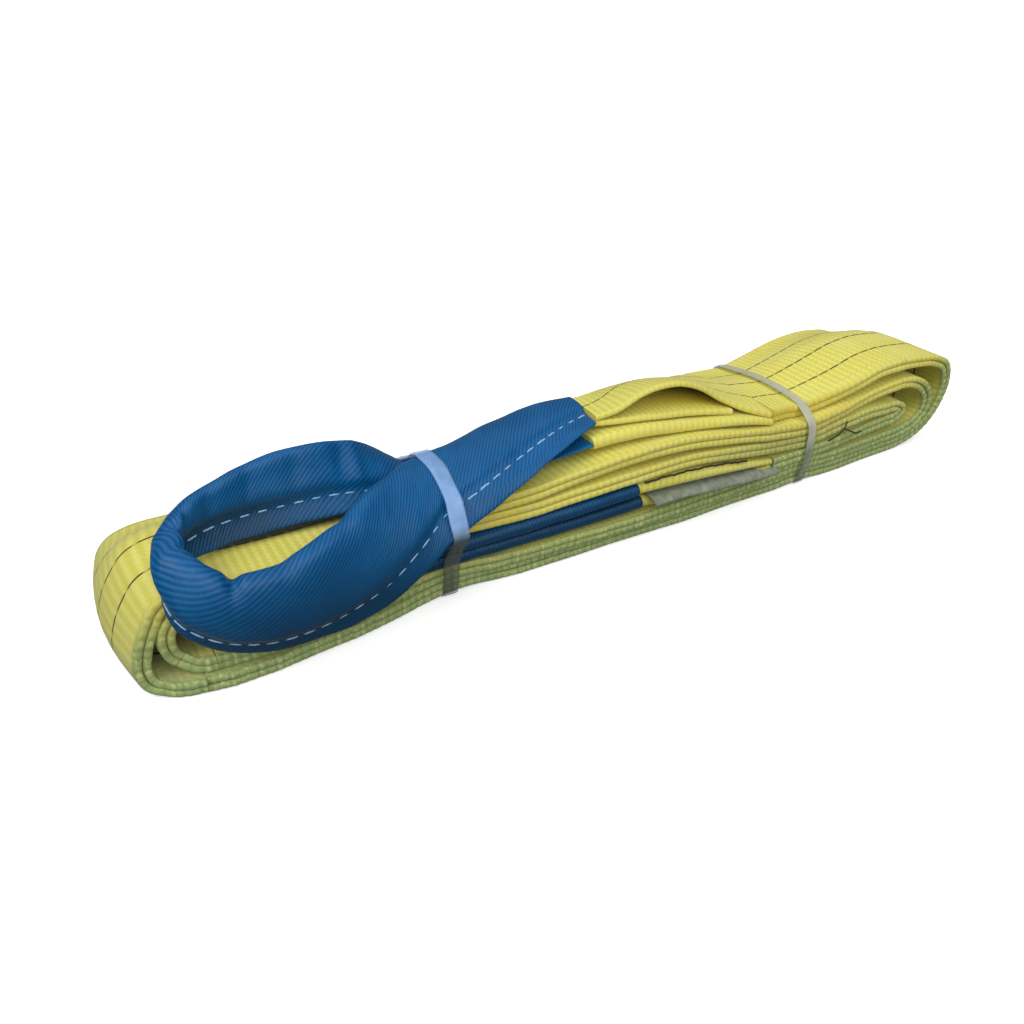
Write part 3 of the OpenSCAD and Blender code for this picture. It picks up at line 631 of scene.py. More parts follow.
# How far the near and far edges stand out along the bundle: pairs of x and y. The lowest
# layer has its own near edge, and the top layer is pinched by the right tie.
near_bow = np.array([
    [-10, -3], [6, -5], [16, -5.4], [26, -8], [45, -8.8], [75, -7.6], [98, -4.2], [120, -1.5],
    [143, -1], [190, -6], [245, -8], [310, -6], [344, -4.4], [370, -4.4], [396, -3], [430, -1],
    [490, 0]
])
low_bow = np.array([
    [-10, -3], [1, -5], [8, -9.5], [16, -12.5], [33, -15], [52, -15], [70, -12.6], [90, -10.6],
    [110, -6], [124, -2.5], [143, 0], [160, 0], [180, -2], [225, -3], [280, -3.6], [320, -2],
    [370, -1.4], [405, -2], [440, 0], [490, 0]
])
pinch = np.array([
    [300, 0], [325, 1.5], [345, 5], [360, 9], [375, 9], [395, 5], [415, 1.5], [440, 0]
])
far_bow = np.array([
    [-10, 89], [60, 91], [143, 88], [250, 90], [300, 87], [344, 80], [370, 76], [405, 84],
    [445, 89], [490, 89]
])
print("stations:", {run: len(rows) for run, rows in runs.items()})

# %% [markdown]
# ## One ply as a mesh
#
# A ply is 3.5 mm thick, with slightly rounded woven edges. The outline of its section
# holds a few points across each face and half an ellipse at each edge. Every point knows
# its place across the width and its height off the middle of the ply.
#
# Across the bundle the layers lie level over the thick eye legs at the near side and
# then slope down to the thin far side. Along it, the near and far edges follow the bow
# of the bundle between the ties. No two plies are folded quite alike, so each one gets
# a small slow sway of its own, from a fixed seed.

# %% A ply
EDGE_POINTS = 8


def ply_outline(width, thick, faces=14):
    """Places across, heights, how much each point belongs to an edge (-1 near, 1 far),
    and the place along the surface for U."""
    r = thick / 2
    e = r * 0.55
    level = e + (width - 2 * e) * (1 - np.cos(np.linspace(0, math.pi, faces))) / 2
    turn = np.linspace(math.pi / 2, -math.pi / 2, EDGE_POINTS + 2)[1:-1]
    cos = np.cos(turn)
    sin = np.sin(turn)
    flat = np.zeros(faces)
    across = np.concatenate([level, width - e + e * cos, level[::-1], e - e * cos])
    height = np.concatenate([flat + r, r * sin, flat - r, -r * sin])
    edges = np.concatenate([flat, cos, flat, -cos])
    # On the edges U follows the round of the thread, so the weave isn't stretched
    round_u = (r + e) / 2 * (math.pi / 2 - np.abs(turn))
    u_mm = np.concatenate([level, width - e + round_u, level[::-1], e - round_u])
    return across, height, edges, u_mm


def near_part(u):
    """How much of the near edge's height is kept at a place across, from 0 to 1."""
    return np.where(u <= 0.5, 1.0, (1 + np.cos(np.pi * (u - 0.5) / 0.5)) / 2)


def sway(at, seed, size):
    """A slow wave along a strip, different for each seed."""
    rng = np.random.default_rng(seed)
    total = np.zeros_like(at)
    for long in (190.0, 83.0, 37.0):
        total += np.sin(at * 2 * np.pi / long + rng.uniform(0, 6.3)) * long / 190
    return total * size


def read_off(table, x):
    """The value of a table of pairs at x."""
    return np.interp(x, table[:, 0], table[:, 1])


def bow_at(x, z):
    """Where the near edge lies: the lowest layer and the pinched top layer differ."""
    share = np.clip((z - 6) / 9, 0, 1)
    high = np.clip((z - 40) / 4, 0, 1)
    low_y = read_off(low_bow, x)
    near_y = read_off(near_bow, x)
    return low_y * (1 - share) + near_y * share + read_off(pinch, x) * high


def across_point(c, near, far, u, height):
    """Points at place u across (0 to 1), at a height off the middle of the strip."""
    near_2d = near[0] + height * near[1]
    far_2d = far[0] + height * far[1]
    keep = near_part(u)
    x_z = near_2d * keep + far_2d * (1 - keep)
    x = x_z[:, 0] + c[:, 4] * np.sin(np.pi * u)
    z = x_z[:, 1] + c[:, 5] * max(0.0, 1 - 2 * u)
    y_near = bow_at(c[:, 0], c[:, 1])
    y_far = read_off(far_bow, c[:, 0])
    return x, y_near * (1 - u) + y_far * u, z


def strip_middle(c):
    """Half way between the two edges of the strip, at each station."""
    return (c[:, 0:2] + c[:, 2:4]) / 2


def left_of(curve):
    """Unit direction to the left of a flat curve, at each of its points."""
    d = heading(curve)
    return np.column_stack([-d[:, 1], d[:, 0]])


def both_edges(c):
    """The near and the far edge of the strip, each as its points and the way out."""
    return [(edge, left_of(edge)) for edge in (c[:, 0:2], c[:, 2:4])]


def build_ply(name, c, at, side, seed, nodes):
    """One ply of a run: side 1 is the outside of the roll, side -1 the inside."""
    across, height, edges, u_mm = ply_outline(WIDTH, PLY)
    near, far = both_edges(c)
    middle = side * (GAP + PLY) / 2
    rib = 0.5 + 0.5 * np.cos(2 * np.pi * at / PICK)
    drift = sway(at, seed, 0.45)
    points = np.empty((len(c), len(across), 3))
    for k in range(len(across)):
        x, y, z = across_point(c, near, far, across[k] / WIDTH, middle + height[k])
        y = y + drift * (1 if across[k] < WIDTH / 2 else 0.6) + edges[k] * (0.5 * rib - 0.24)
        points[:, k] = np.column_stack([x, y, np.maximum(z, 0)])
    piece = skin(name, points, strip_uv(u_mm, at), webbing)
    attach(piece, "bundle")
    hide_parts(*nodes)
    return piece


# %% Cut the strip into its runs
all_rows = [row for rows in runs.values() for row in rows]
strip_path, strip_at, station = smooth_path(all_rows, 1.0, strip_middle)
first = 0
seed = 1
for run, rows in runs.items():
    last = first + len(rows) - 1
    picked = np.flatnonzero((station >= first - 0.5) & (station <= last + 0.5))
    picked = np.arange(max(picked[0] - 1, 0), picked[-1] + 1)
    for side, word in ((1, "outer"), (-1, "inner")):
        if run == "top_run":
            word = "upper" if side == 1 else "lower"
        piece = build_ply(
            f"{run}_{word}_webbing", strip_path[picked], strip_at[picked], side, seed,
            [f"{run}_{word}_ply"],
        )
        seed += 1
    length = strip_at[picked[-1]] - strip_at[picked[0]]
    print(run, round(length), "mm,", len(piece.data.polygons), "faces")
    first = last + 1


# %% [markdown]
# ## Bare legs of the eyes
#
# Between a sleeve and the splice the webbing is bare. Inside the sleeve it is folded to
# half its width, and here it opens out again. The fold of the top leg springs up: its
# outer half makes the arch, and the inner half lies in its shade.
#
# The stations give both edges in space, the thickness and the swell of the middle.

# %% Bare legs
outer_half_rows = [
    [233, 9, 70.1, 236, 38.5, 67.8, 3.2, 0], [243, 8, 72, 247, 44, 65, 3.2, -1.2],
    [256, 8, 77, 260, 51, 61.4, 3.2, -2.6], [270, 8, 79.2, 280, 57, 57.6, 3.2, -3],
    [284, 8, 77.6, 297, 62, 54, 3.2, -2.6], [297, 8, 72.2, 310, 67, 51, 3.2, -2.6],
    [310, 7, 63.6, 322, 72.5, 47.8, 3.2, -3], [324, 4, 56, 333, 77, 45.4, 3.3, -3.6],
    [342.8, 0.5, 48.6, 342.8, 79.5, 43.1, 3.5, -5]
]
inner_half_rows = [
    [232.6, 9, 66.6, 236, 38.5, 64.4, 3.2, 0], [243, 7, 66.1, 247, 42, 61.6, 3.2, -0.7],
    [256, 5, 65.5, 260, 46, 59.5, 3.2, -1.4], [270, 4, 63.9, 280, 52, 56.5, 3.2, -2.1],
    [284, 4, 62.1, 295, 58, 52.8, 3.2, -2.7], [300, 4, 59.1, 305, 61, 50.6, 3.2, -3.1],
    [317, 4, 55.4, 313, 61, 49.3, 3.2, -3.2]
]
under_bare_rows = [
    [225, 1, 60.2, 225, 45, 56.4, 6.4, 0], [240, 0, 61, 240, 45.5, 55, 6.4, 0],
    [257, -1, 60.4, 257, 50, 53.6, 6.2, -0.8], [276, -1, 57.8, 276, 56, 50.7, 6, -1.6],
    [300, -1, 54.2, 300, 66, 45.2, 5, -2.8], [323, -2, 50.4, 323, 74, 41.2, 4, -3.2],
    [343.8, -1, 44.6, 343.8, 79.5, 39.5, 3.5, -5]
]
lower_top_bare_rows = [
    [249, -6.6, 31.2, 249, 36, 31.2, 6.6, 0], [268, -7.4, 31, 268, 40, 31, 7.6, 0],
    [290, -8, 30, 290, 48, 27.8, 7, 0], [315, -7, 26.8, 315, 64, 23.1, 4.9, 0],
    [332, -5.4, 23.8, 332, 76, 21.1, 3.8, 0], [343.8, -4, 21.5, 343.8, 79.5, 20.6, 3.5, 0]
]
lower_under_bare_rows = [
    [254, -3.6, 20.8, 254, 38, 20.8, 6.4, 0], [275, -6, 20.2, 275, 42, 20, 6.4, 0],
    [300, -7, 19.6, 300, 56, 19.2, 5.4, 0], [322, -6, 18.2, 322, 71, 17.6, 4, 0],
    [343.8, -4, 17.7, 343.8, 79.5, 16.9, 3.5, 0]
]


# How much longer the way round is with two half round edges: pi / 2 - 1, times thickness
ROUND_EDGES = 0.57


def leg_middle(c):
    """The middle of a leg at each station, half way between its two edges."""
    return (c[:, 0:3] + c[:, 3:6]) / 2


def leg_path(rows, step, reach):
    """Stations of a leg at equal steps. reach lengthens its first stretch backwards."""
    rows = np.array(rows, float)
    back = rows[0] - rows[1]
    start = rows[0].copy()
    start[:6] += back[:6] / np.linalg.norm((back[:3] + back[3:6]) / 2) * reach
    return smooth_path(np.vstack([start, rows]), step, leg_middle)[0:2]


def frames_of(c):
    """Middle, direction across and direction out at each station, and half the width."""
    middle = leg_middle(c)
    side = c[:, 3:6] - c[:, 0:3]
    half = np.linalg.norm(side, axis=1) / 2
    side = side / (2 * half)[:, None]
    out = np.cross(side, heading(middle))
    out /= np.linalg.norm(out, axis=1)[:, None]
    return middle, side, out, half


def build_leg(name, rows, marks, nodes, reach=6.0, cloth=webbing):
    """A bare leg. marks give the place across the webbing of its near and its far edge,
    in millimetres: three values each, from the sleeve to the splice."""
    c, at = leg_path(rows, 1.0, reach)
    middle, side, out, half = frames_of(c)
    thick = c[:, 6]
    share = at / at[-1]
    across, height, edges, _ = ply_outline(2.0, 1.0, 18)
    rib = 0.5 + 0.5 * np.cos(2 * np.pi * at / PICK)
    level = np.clip(across - 0.5, 0, 1)
    points = np.empty((len(c), len(across), 3))
    u_mm = np.empty((len(c), len(across)))
    for k in range(len(across)):
        inset = half - thick / 2
        place = (2 * level[k] - 1) * inset + edges[k] * (thick / 2 + 0.4 * rib - 0.2)
        up = height[k] * thick + c[:, 7] * (1 - (place / half) ** 2)
        points[:, k] = middle + side * place[:, None] + out * up[:, None]
        points[:, k, 2] = np.maximum(points[:, k, 2], 0.0)
        # On a round edge the place goes on by the length of the arc, or the weave would
        # be stretched
        near_at, far_at = (np.interp(share, [0, 0.45, 1], mark) for mark in marks)
        arc = thick / 2 * np.arcsin(np.clip(np.abs(height[k]) * 2, 0, 1))
        from_near = arc if edges[k] < 0 else thick * math.pi / 4 + level[k] * 2 * inset
        whole = half * 2 + thick * ROUND_EDGES
        from_near = from_near if edges[k] <= 0 else whole - arc
        part = from_near / whole
        u_mm[:, k] = near_at + (far_at - near_at) * part
    piece = skin(name, points, strip_uv(u_mm, at), cloth)
    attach(piece, "bundle")
    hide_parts(*nodes)
    print(name, round(at[-1]), "mm")


# One ply of the webbing for each half of the springy fold. The under leg is folded in two
# at the sleeve and opened to a wide band at the splice. The lower legs lie turned, so that
# only the part beyond the last marker shows.
NEAR_HALF = ((0, 0, 0), (44, 44, 44))
FAR_HALF = ((90, 90, 90), (46, 46, 0))
OPENED = ((0, 0, 0), (44, 44, 90))
TURNED = ((70, 70, 70), (90, 90, 90))
build_leg("top_leg_outer_half_webbing", outer_half_rows,
          FAR_HALF, ["upper_eye_top_leg_outer_half"], reach=3.0)
# The inner half takes the copy of the webbing with the painted glow
build_leg("top_leg_inner_half_webbing", inner_half_rows,
          NEAR_HALF, ["upper_eye_top_leg_inner_half"], reach=3.0, cloth=glow_painted_webbing)
build_leg("under_leg_bare_webbing", under_bare_rows,
          OPENED, ["upper_eye_under_leg_bare"], reach=1.0)
build_leg("lower_top_leg_bare_webbing", lower_top_bare_rows,
          TURNED, ["lower_eye_top_leg_bare"])
build_leg("lower_under_leg_bare_webbing", lower_under_bare_rows,
          TURNED, ["lower_eye_under_leg_bare"])


# %% [markdown]
# ## Sleeve material
#
# The wear sleeves are a blue polyester twill. A twill shows fine diagonal ridges, and
# this coarse one has a ridge every 2.6 mm. The sleeve's UV map runs round the tube
# in U and along it in V, so the diagonal is a sine of their sum. Larger soft noise
# gives the puckers and rubbed patches of cloth that is bent round an eye.

# %% Blue twill
RIDGE = 2.6
THREAD = 1.2

twill, tree = new_material("blue polyester twill")
around, along = on_strip(tree)
slant = maths(tree, "ADD", around, along)
ridge = chain(
    tree, slant, ("MULTIPLY", TURN / (RIDGE * MM)), ("SINE",), ("MULTIPLY_ADD", 0.5, 0.5)
)
threads = maths(tree, "SUBTRACT", around, along)
threads = chain(tree, threads, ("MULTIPLY", TURN / (THREAD * MM)), ("SINE",))
height = maths(tree, "MULTIPLY_ADD", threads, 0.14, ridge)
flat_place = node(tree, "ShaderNodeCombineXYZ", {0: around, 1: along})
creases = cloud(tree, flat_place, 95.0, 3.0)
rubbed = cloud(tree, flat_place, 38.0, 4.0)
blue = ramp(tree, ridge, (0.1, "#004576"), (0.9, "#00609C"))
mixed = mix(tree, span(tree, rubbed, 0.45, 0.75, 0.0, 0.4), blue, linear("#1470B0"))
# Painted shade: the low side of the eye and the sleeve near the floor are a deeper,
# greener blue
x, y, z = in_frame(tree)
deep = span(tree, z, 0.024, 0.060, 0.85, 0.0)
# and so is the hollow of the eye, where its far wall turns round and faces the front
hollow = span(tree, z, 0.064, 0.074, 0.85, 0.0)
hollow = kept_within(tree, hollow, (x, -0.222, -0.212), (x, -0.14, -0.18), (y, -0.044, -0.034))
hollow = kept_within(tree, hollow, (facing(tree)[1], 0.1, -0.3))
mixed = mix(tree, maths(tree, "MAXIMUM", deep, hollow), mixed, linear("#003352"))
fine = bump(tree, height, 0.3, 0.0003)
soft = bump(tree, creases, 0.35, 0.002)
tree.links.new(fine.outputs[0], soft.inputs["Normal"])
surface(
    tree, Base_Color=mixed, Roughness=0.4, Normal=soft, Specular_IOR_Level=0.3,
    Sheen_Weight=0.06, Sheen_Roughness=0.35,
)
print("twill: ridges every", RIDGE, "mm")

# %% [markdown]
# ## Eye sleeves
#
# A sleeve is one strip of twill wrapped round the folded webbing and sewn to itself
# along one edge, which leaves a thin double flange. The outline is a rounded flat tube
# with that flange on one side. It is swept along the stations of the eye: up the top
# leg, round the standing ring and back under the tie as the under leg.
#
# The ring can be lifted while its legs stay under the tie. The sleeve crosses that bend, so
# it is one piece.

# %% Sleeve stations
top_leg_rows = [
    [229, 7, 68.5, 233, 40.5, 66.6, 8.2, 0, 13], [215, 2, 66.4, 212, 41, 66.9, 8.2, 1, 13],
    [200, -3, 63.4, 195, 39, 65.6, 8.2, 3.5, 12], [182, -8, 58, 180, 37.5, 63.8, 8.2, 6, 11.5],
    [165, -12, 52, 165, 34, 62.2, 8.2, 8.5, 11], [153, -14.5, 47.5, 153, 31, 61.6, 8.2, 9.6, 11],
    [138.7, -16.6, 42.7, 138.7, 28.7, 62, 8.2, 9, 12]
]
loop_rows = [
    [136.2, -16.8, 41.6, 136.2, 27.3, 62.6, 8.2, 9, 12],
    [128, -18.2, 35.6, 128, 20.5, 65.6, 8.2, 8.6, 13],
    [119, -18.6, 29, 118, 10, 68, 8.6, 8, 13.5], [108, -18, 21.5, 107, 1, 69.6, 9.4, 6, 13],
    [95, -17, 16, 96, -8, 68.6, 10, 4, 12], [80, -17, 13.4, 83, -15, 65, 10, 3, 10.5],
    [62, -17.5, 13.4, 66, -20.5, 60.4, 10, 3, 9], [46, -18, 16, 50, -22, 58.4, 10, 3, 8.5],
    [34, -18, 21, 40, -21, 59.6, 10, 3, 8], [23, -17, 28, 32, -18, 63, 10, 3, 7.5],
    [15, -15, 37, 28, -13, 66, 10, 3, 6.5], [12.5, -11, 45, 25, -7, 69, 10, 3, 6.5],
    [15, -5, 51.6, 24.4, 0, 71.6, 10, 3, 7.5], [21, 1, 54, 26, 7.5, 75, 10, 3, 8.5],
    [29, 6, 54.6, 31, 13.5, 77.6, 10, 3, 9.5], [38.5, 9.5, 54.4, 40, 18, 79.8, 10, 3, 10.5],
    [49, 11.5, 54.2, 51.4, 21.5, 82, 10, 3, 11], [61, 12.5, 54.1, 64.2, 23.5, 84, 10, 3, 11],
    [74, 12.5, 54, 77.5, 24.5, 85.2, 10, 3, 11], [87, 12, 53.9, 89.5, 25.5, 85, 10, 3, 11],
    [99, 11.5, 53.6, 101, 28, 81.8, 9.6, 3, 10.5], [110, 11, 53.2, 111.5, 33, 76, 9, 2, 10],
    [120, 10.5, 52.6, 120.5, 39, 68, 8.6, 1, 9.5], [129, 10, 52.2, 129, 42.8, 59.6, 8.2, 0, 9],
    [136.2, 9.4, 52.2, 136.2, 44.4, 53.4, 8.2, 0, 8.5]
]
under_leg_rows = [
    [138.7, 9.2, 52.1, 138.7, 44.6, 52.9, 8.2, 0, 8.5],
    [150, 8.4, 52.1, 150, 44.8, 52.2, 8.2, 0, 9], [165, 7, 52.8, 165, 45, 52.5, 8.2, 0, 9],
    [182, 5, 54.2, 182, 46, 53, 8.2, 0, 10], [200, 3, 56.8, 200, 46.5, 54.4, 8.2, 0, 11],
    [224, 1, 60.2, 224, 46.3, 56.6, 8.2, 0, 12]
]
lower_eye_rows = [
    [253, 44, 21, 253, -5, 21, 8.2, 0, 7], [215, 44, 20.4, 215, -4.6, 20.4, 8.2, 0, 7],
    [180, 45, 20, 180, -3.4, 20, 8.2, 0, 7], [143, 45, 20.4, 143, -2.6, 20.4, 8.2, 0, 7],
    [100, 44, 19.7, 100, -3, 19.7, 8.2, 0, 7], [60, 43, 19.6, 60, -4, 19.6, 8.2, 0, 7],
    [40, 43, 19.8, 38, -4, 19.8, 8.2, 0, 7], [29, 43, 20.4, 27, -4, 20.4, 8, 0, 7],
    [23.6, 43, 25, 21.6, -4, 25, 8, 0, 7], [29, 43, 29.6, 27, -4, 29.6, 8, 0, 7],
    [40, 43, 30, 38, -5, 30, 8.2, 0, 7], [60, 43, 29.6, 60, -5, 29.6, 8.2, 0, 7],
    [100, 44, 28.6, 100, -4.4, 28.6, 8.2, 0, 7], [143, 45, 28.2, 143, -4.8, 28.2, 7.6, 0, 7],
    [180, 45, 28.7, 180, -6.4, 28.7, 8.2, 0, 7], [215, 43, 30.3, 215, -7.8, 30.3, 8.2, 0, 7],
    [248, 42, 31.2, 248, -8, 31.2, 8.2, 0, 7]
]
upper_eye_rows = top_leg_rows + loop_rows + under_leg_rows
print("stations of the sleeves:", len(upper_eye_rows), "and", len(lower_eye_rows))


# %% Sleeve skin
CLOTH = 0.8
LUMPS = 0.6
LUMP_SIZE = 13.0


def both_faces(upper):
    """A closed outline from its upper half, which runs from the flange to the far side."""
    return upper + [(across, -out) for across, out in reversed(upper)]


def sleeve_outline(half, thick, flange, inset=0.0):
    """Across and out for each corner of a rounded flat tube with a flange. With an
    inset this is its hollow, which ends in a thin slit where the flange begins."""
    k = thick / 2 - inset
    a = -half + flange
    slit = [(a + 1.4, 0.25), (a + 2.2, 0.25)] if inset else [(-half, 0.85), (a, 0.85)]
    side = half - inset
    return both_faces([
        *slit, (a + 3 + inset, k), (0.5 * (a + half), k + 0.25), (half - 3, k), (side, 0.45 * k),
    ])


def rounded(outline):
    """A closed outline with its corners cut and cut again. It keeps its first edge."""
    points = np.array(outline, float)
    for _ in range(2):
        after = np.roll(points, -1, axis=0)
        cuts = [0.75 * points + 0.25 * after, 0.25 * points + 0.75 * after]
        points = np.stack(cuts, axis=1).reshape(-1, 2)
    return points


def sweep(c, outline_of, lumps, number, creases):
    """Sections of a leg, with soft lumps of cloth pushed in and out and creases, and the
    way round each section. number is the station number of each section."""
    middle, side, out, half = frames_of(c)
    blocks = []
    rounds = []
    for i in range(len(c)):
        flat = rounded(outline_of(half[i], c[i, 6], c[i, 8]))
        bulge = c[i, 7] * (1 - (flat[:, 0] / half[i]) ** 2)
        up = flat[:, 1] + bulge
        place = flat[:, 0].copy()
        for station, long, where, wide, deep, down in creases:
            near = math.exp(-(((number[i] - station) / long) ** 2))
            part = near * np.exp(-(((flat[:, 0] / half[i] - where) / wide) ** 2))
            up = up + part * deep
            place = place - part * down
        blocks.append(middle[i] + np.outer(place, side[i]) + np.outer(up, out[i]))
        step = np.linalg.norm(np.diff(np.vstack([flat, flat[:1]]), axis=0), axis=1)
        rounds.append(np.append(0, np.cumsum(step)))
    points = np.array(blocks)
    rounds = np.array(rounds)
    if lumps:
        centre = points.mean(axis=1, keepdims=True)
        away = points - centre
        away /= np.linalg.norm(away, axis=2, keepdims=True)
        push = np.array([[noise.noise(Vector(p) / LUMP_SIZE) for p in row] for row in points])
        points = points + away * (push * lumps)[:, :, None]
    return points, rounds


def build_sleeve(name, rows, nodes, creases=()):
    """A sleeve: its outer skin, its inner skin and the two cut ends."""
    c, at, number = smooth_path(rows, 1.1, leg_middle)
    outer, rounds = sweep(c, sleeve_outline, LUMPS, number, creases)
    places = outer.shape[1]
    shell = skin(name, outer, strip_uv(rounds[:, :-1], at), twill, False, rounds[:, -1] * MM)
    inner, ring = sweep(c, lambda *size: sleeve_outline(*size, CLOTH), 0.0, number, creases)
    lining = skin(name + "_lining", inner, strip_uv(ring[:, :-1], at), twill, False)
    work = bmesh.new()
    work.from_mesh(shell.data)
    count = len(work.verts)
    work.from_mesh(lining.data)
    work.verts.ensure_lookup_table()
    bmesh.ops.reverse_faces(work, faces=[f for f in work.faces if f.verts[0].index >= count])
    stations = len(c)
    for row in (0, stations - 1):
        for j in range(places):
            k = (j + 1) % places
            corners = [row * places + j, row * places + k]
            corners += [count + v for v in reversed(corners)]
            if row:
                corners.reverse()
            work.faces.new([work.verts[v] for v in reversed(corners)])
    work.to_mesh(shell.data)
    work.free()
    for face in shell.data.polygons:
        face.use_smooth = True
    bpy.data.objects.remove(lining)
    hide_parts(*nodes)
    print(name, round(at[-1]), "mm,", len(shell.data.polygons), "faces")
    return shell


# %% Build both sleeves
# Creases of the cloth where it is bent round the eye: station, reach along in stations,
# place across from -1 at the sewn edge to 1, reach across, push outwards, push down
eye_creases = [
    (15.1, 0.3, 1.0, 0.3, 0.0, 3.6), (15.1, 0.25, 0.7, 0.35, -0.8, 0.0),
    (27.0, 0.3, 0.6, 0.6, 1.4, 0.0), (27.7, 0.3, 0.5, 0.8, -1.2, 0.0),
    (18.3, 0.3, 0.8, 0.5, 0.8, 1.0), (19.5, 0.3, 0.7, 0.5, 1.4, 1.2),
    (20.6, 0.3, 0.6, 0.6, 1.5, 0.8), (22.0, 0.35, 0.4, 0.6, 1.6, 0.4),
    (23.6, 0.3, 0.5, 0.6, 1.2, 0.6), (25.2, 0.35, 0.5, 0.5, 1.2, 0.3),
    (13.4, 0.3, 1.0, 0.3, 0.0, 1.2), (11.6, 0.3, 1.0, 0.35, 0.0, 1.4),
]
upper_sleeve = build_sleeve(
    "upper_eye_sleeve", upper_eye_rows,
    ["upper_eye_loop_sleeve", "upper_eye_top_leg_sleeve", "upper_eye_under_leg_sleeve"],
    eye_creases,
)
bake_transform(upper_sleeve)
lower_sleeve = build_sleeve("lower_eye_sleeve_cloth", lower_eye_rows, ["lower_eye_sleeve"])
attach(lower_sleeve, "bundle")

# %% [markdown]
# The folded webbing shows only at the mouths of the sleeves. It is a bar with rounded
# sides that fills the sleeve from end to end.

# %% Webbing inside the sleeves
def folded_outline(half, thick, flange):
    """Folded webbing that fills the hollow of the sleeve."""
    k = thick / 2 - CLOTH - 0.3
    a = -half + flange
    side = half - CLOTH - 0.5
    return both_faces([
        (a + 3.0, 0.5), (a + 4.6, k), (0.5 * (a + half), k), (half - 4, k), (side, 0.4 * k),
    ])


def build_filling(name, rows, nodes, creases=()):
    """The bar of folded webbing along the stations of a sleeve."""
    c, at, number = smooth_path(rows, 2.5, leg_middle)
    points, rounds = sweep(c, folded_outline, 0.0, number, creases)
    piece = skin(name, points, strip_uv(rounds[:, :-1], at), webbing, True, rounds[:, -1] * MM)
    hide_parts(*nodes)
    print(name, round(at[-1]), "mm")
    return piece


upper_filling = build_filling(
    "upper_eye_folded_webbing", upper_eye_rows,
    ["upper_eye_loop_webbing", "upper_eye_top_leg_webbing", "upper_eye_under_leg_webbing"],
    eye_creases,
)
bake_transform(upper_filling)
lower_filling = build_filling("lower_eye_folded_webbing", lower_eye_rows, ["lower_eye_webbing"])
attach(lower_filling, "bundle")

# %% [markdown]
# ## Threads
#
# A seam is one stitch repeated along a line, so Geometry Nodes makes it. Python gives
# the tree a line of points, each with the direction out of the cloth. The tree cuts
# the line into even steps, sets a stitch on each, and turns it along the seam. A
# stitch is a short arc of thread whose two ends dip into the cloth.
#
# The result is turned into a plain mesh before it is joined to the frame, because the
# export keeps only real geometry.

# %% Thread materials
def thread_material(name, dark, light, sheen):
    """Twisted polyester sewing thread: matt, with a little sheen."""
    material, tree = new_material(name)
    spot = node(tree, "ShaderNodeTexCoord")
    twist = cloud(tree, spot.outputs["Object"], 1800.0)
    shade = ramp(tree, twist, (0.3, dark), (0.65, light))
    raised = bump(tree, twist, 0.4, 0.0002)
    surface(tree, Base_Color=shade, Roughness=0.5, Normal=raised, Sheen_Weight=sheen)
    return material


pale_thread = thread_material("pale blue polyester thread", "#6C9AC6", "#AFCFEA", 0.3)
cream_thread = thread_material("cream polyester thread", "#C6BC5C", "#E4DC84", 0.3)
black_thread = thread_material("black polyester thread", "#0D0B07", "#241F16", 0.05)


# %% Stitch tree
def stitch_tree(material):
    """A node tree that sews stitches along the lines of a mesh."""
    tree = bpy.data.node_groups.new("stitches along a line", "GeometryNodeTree")
    face = tree.interface
    face.new_socket(name="Geometry", in_out="INPUT", socket_type="NodeSocketGeometry")
    sizes = {"Pitch": 0.008, "Stitch length": 0.0046, "Thread radius": 0.0005, "Arch": 0.0004}
    for name, value in sizes.items():
        socket = face.new_socket(name=name, in_out="INPUT", socket_type="NodeSocketFloat")
        socket.default_value = value
    face.new_socket(name="Geometry", in_out="OUTPUT", socket_type="NodeSocketGeometry")
    given, pitch, length, radius, arch = node(tree, "NodeGroupInput").outputs[0:5]
    # Even steps along the line
    line = node(tree, "GeometryNodeMeshToCurve", {"Mesh": given})
    steps = node(
        tree, "GeometryNodeResampleCurve", {"Curve": line, "Length": pitch}, mode="LENGTH"
    )
    # One stitch: an arc of round thread whose ends dip into the cloth
    back = product(tree, length, -0.5)
    ahead = product(tree, length, 0.5)
    dip = product(tree, arch, -1.0)
    start = node(tree, "ShaderNodeCombineXYZ", {0: back, 2: dip})
    top = node(tree, "ShaderNodeCombineXYZ", {2: arch})
    end = node(tree, "ShaderNodeCombineXYZ", {0: ahead, 2: dip})
    arc = node(tree, "GeometryNodeCurveQuadraticBezier", {
        "Resolution": 4, "Start": start, "Middle": top, "End": end,
    })
    ring = node(tree, "GeometryNodeCurvePrimitiveCircle", {"Resolution": 6, "Radius": radius})
    stitch = node(tree, "GeometryNodeCurveToMesh", {
        "Curve": arc, "Profile Curve": ring, "Fill Caps": True,
    })
    # Turned along the line and out of the cloth, and each a little longer or shorter
    along = node(tree, "GeometryNodeInputTangent")
    outward = node(
        tree, "GeometryNodeInputNamedAttribute", {"Name": "out"}, data_type="FLOAT_VECTOR"
    )
    ways = {"Primary Axis": along, "Secondary Axis": outward}
    turned = node(tree, "FunctionNodeAxesToRotation", ways, primary_axis="X", secondary_axis="Z")
    sizes = {2: 0.88, 3: 1.06, "Seed": 7}
    uneven = node(tree, "FunctionNodeRandomValue", sizes, data_type="FLOAT")
    sewn = node(tree, "GeometryNodeInstanceOnPoints", {
        "Points": steps, "Instance": stitch, "Rotation": turned, "Scale": uneven.outputs[1],
    })
    real = node(tree, "GeometryNodeRealizeInstances", {"Geometry": sewn})
    finished = node(tree, "GeometryNodeSetMaterial", {"Geometry": real, "Material": material})
    node(tree, "NodeGroupOutput", {"Geometry": finished})
    return tree


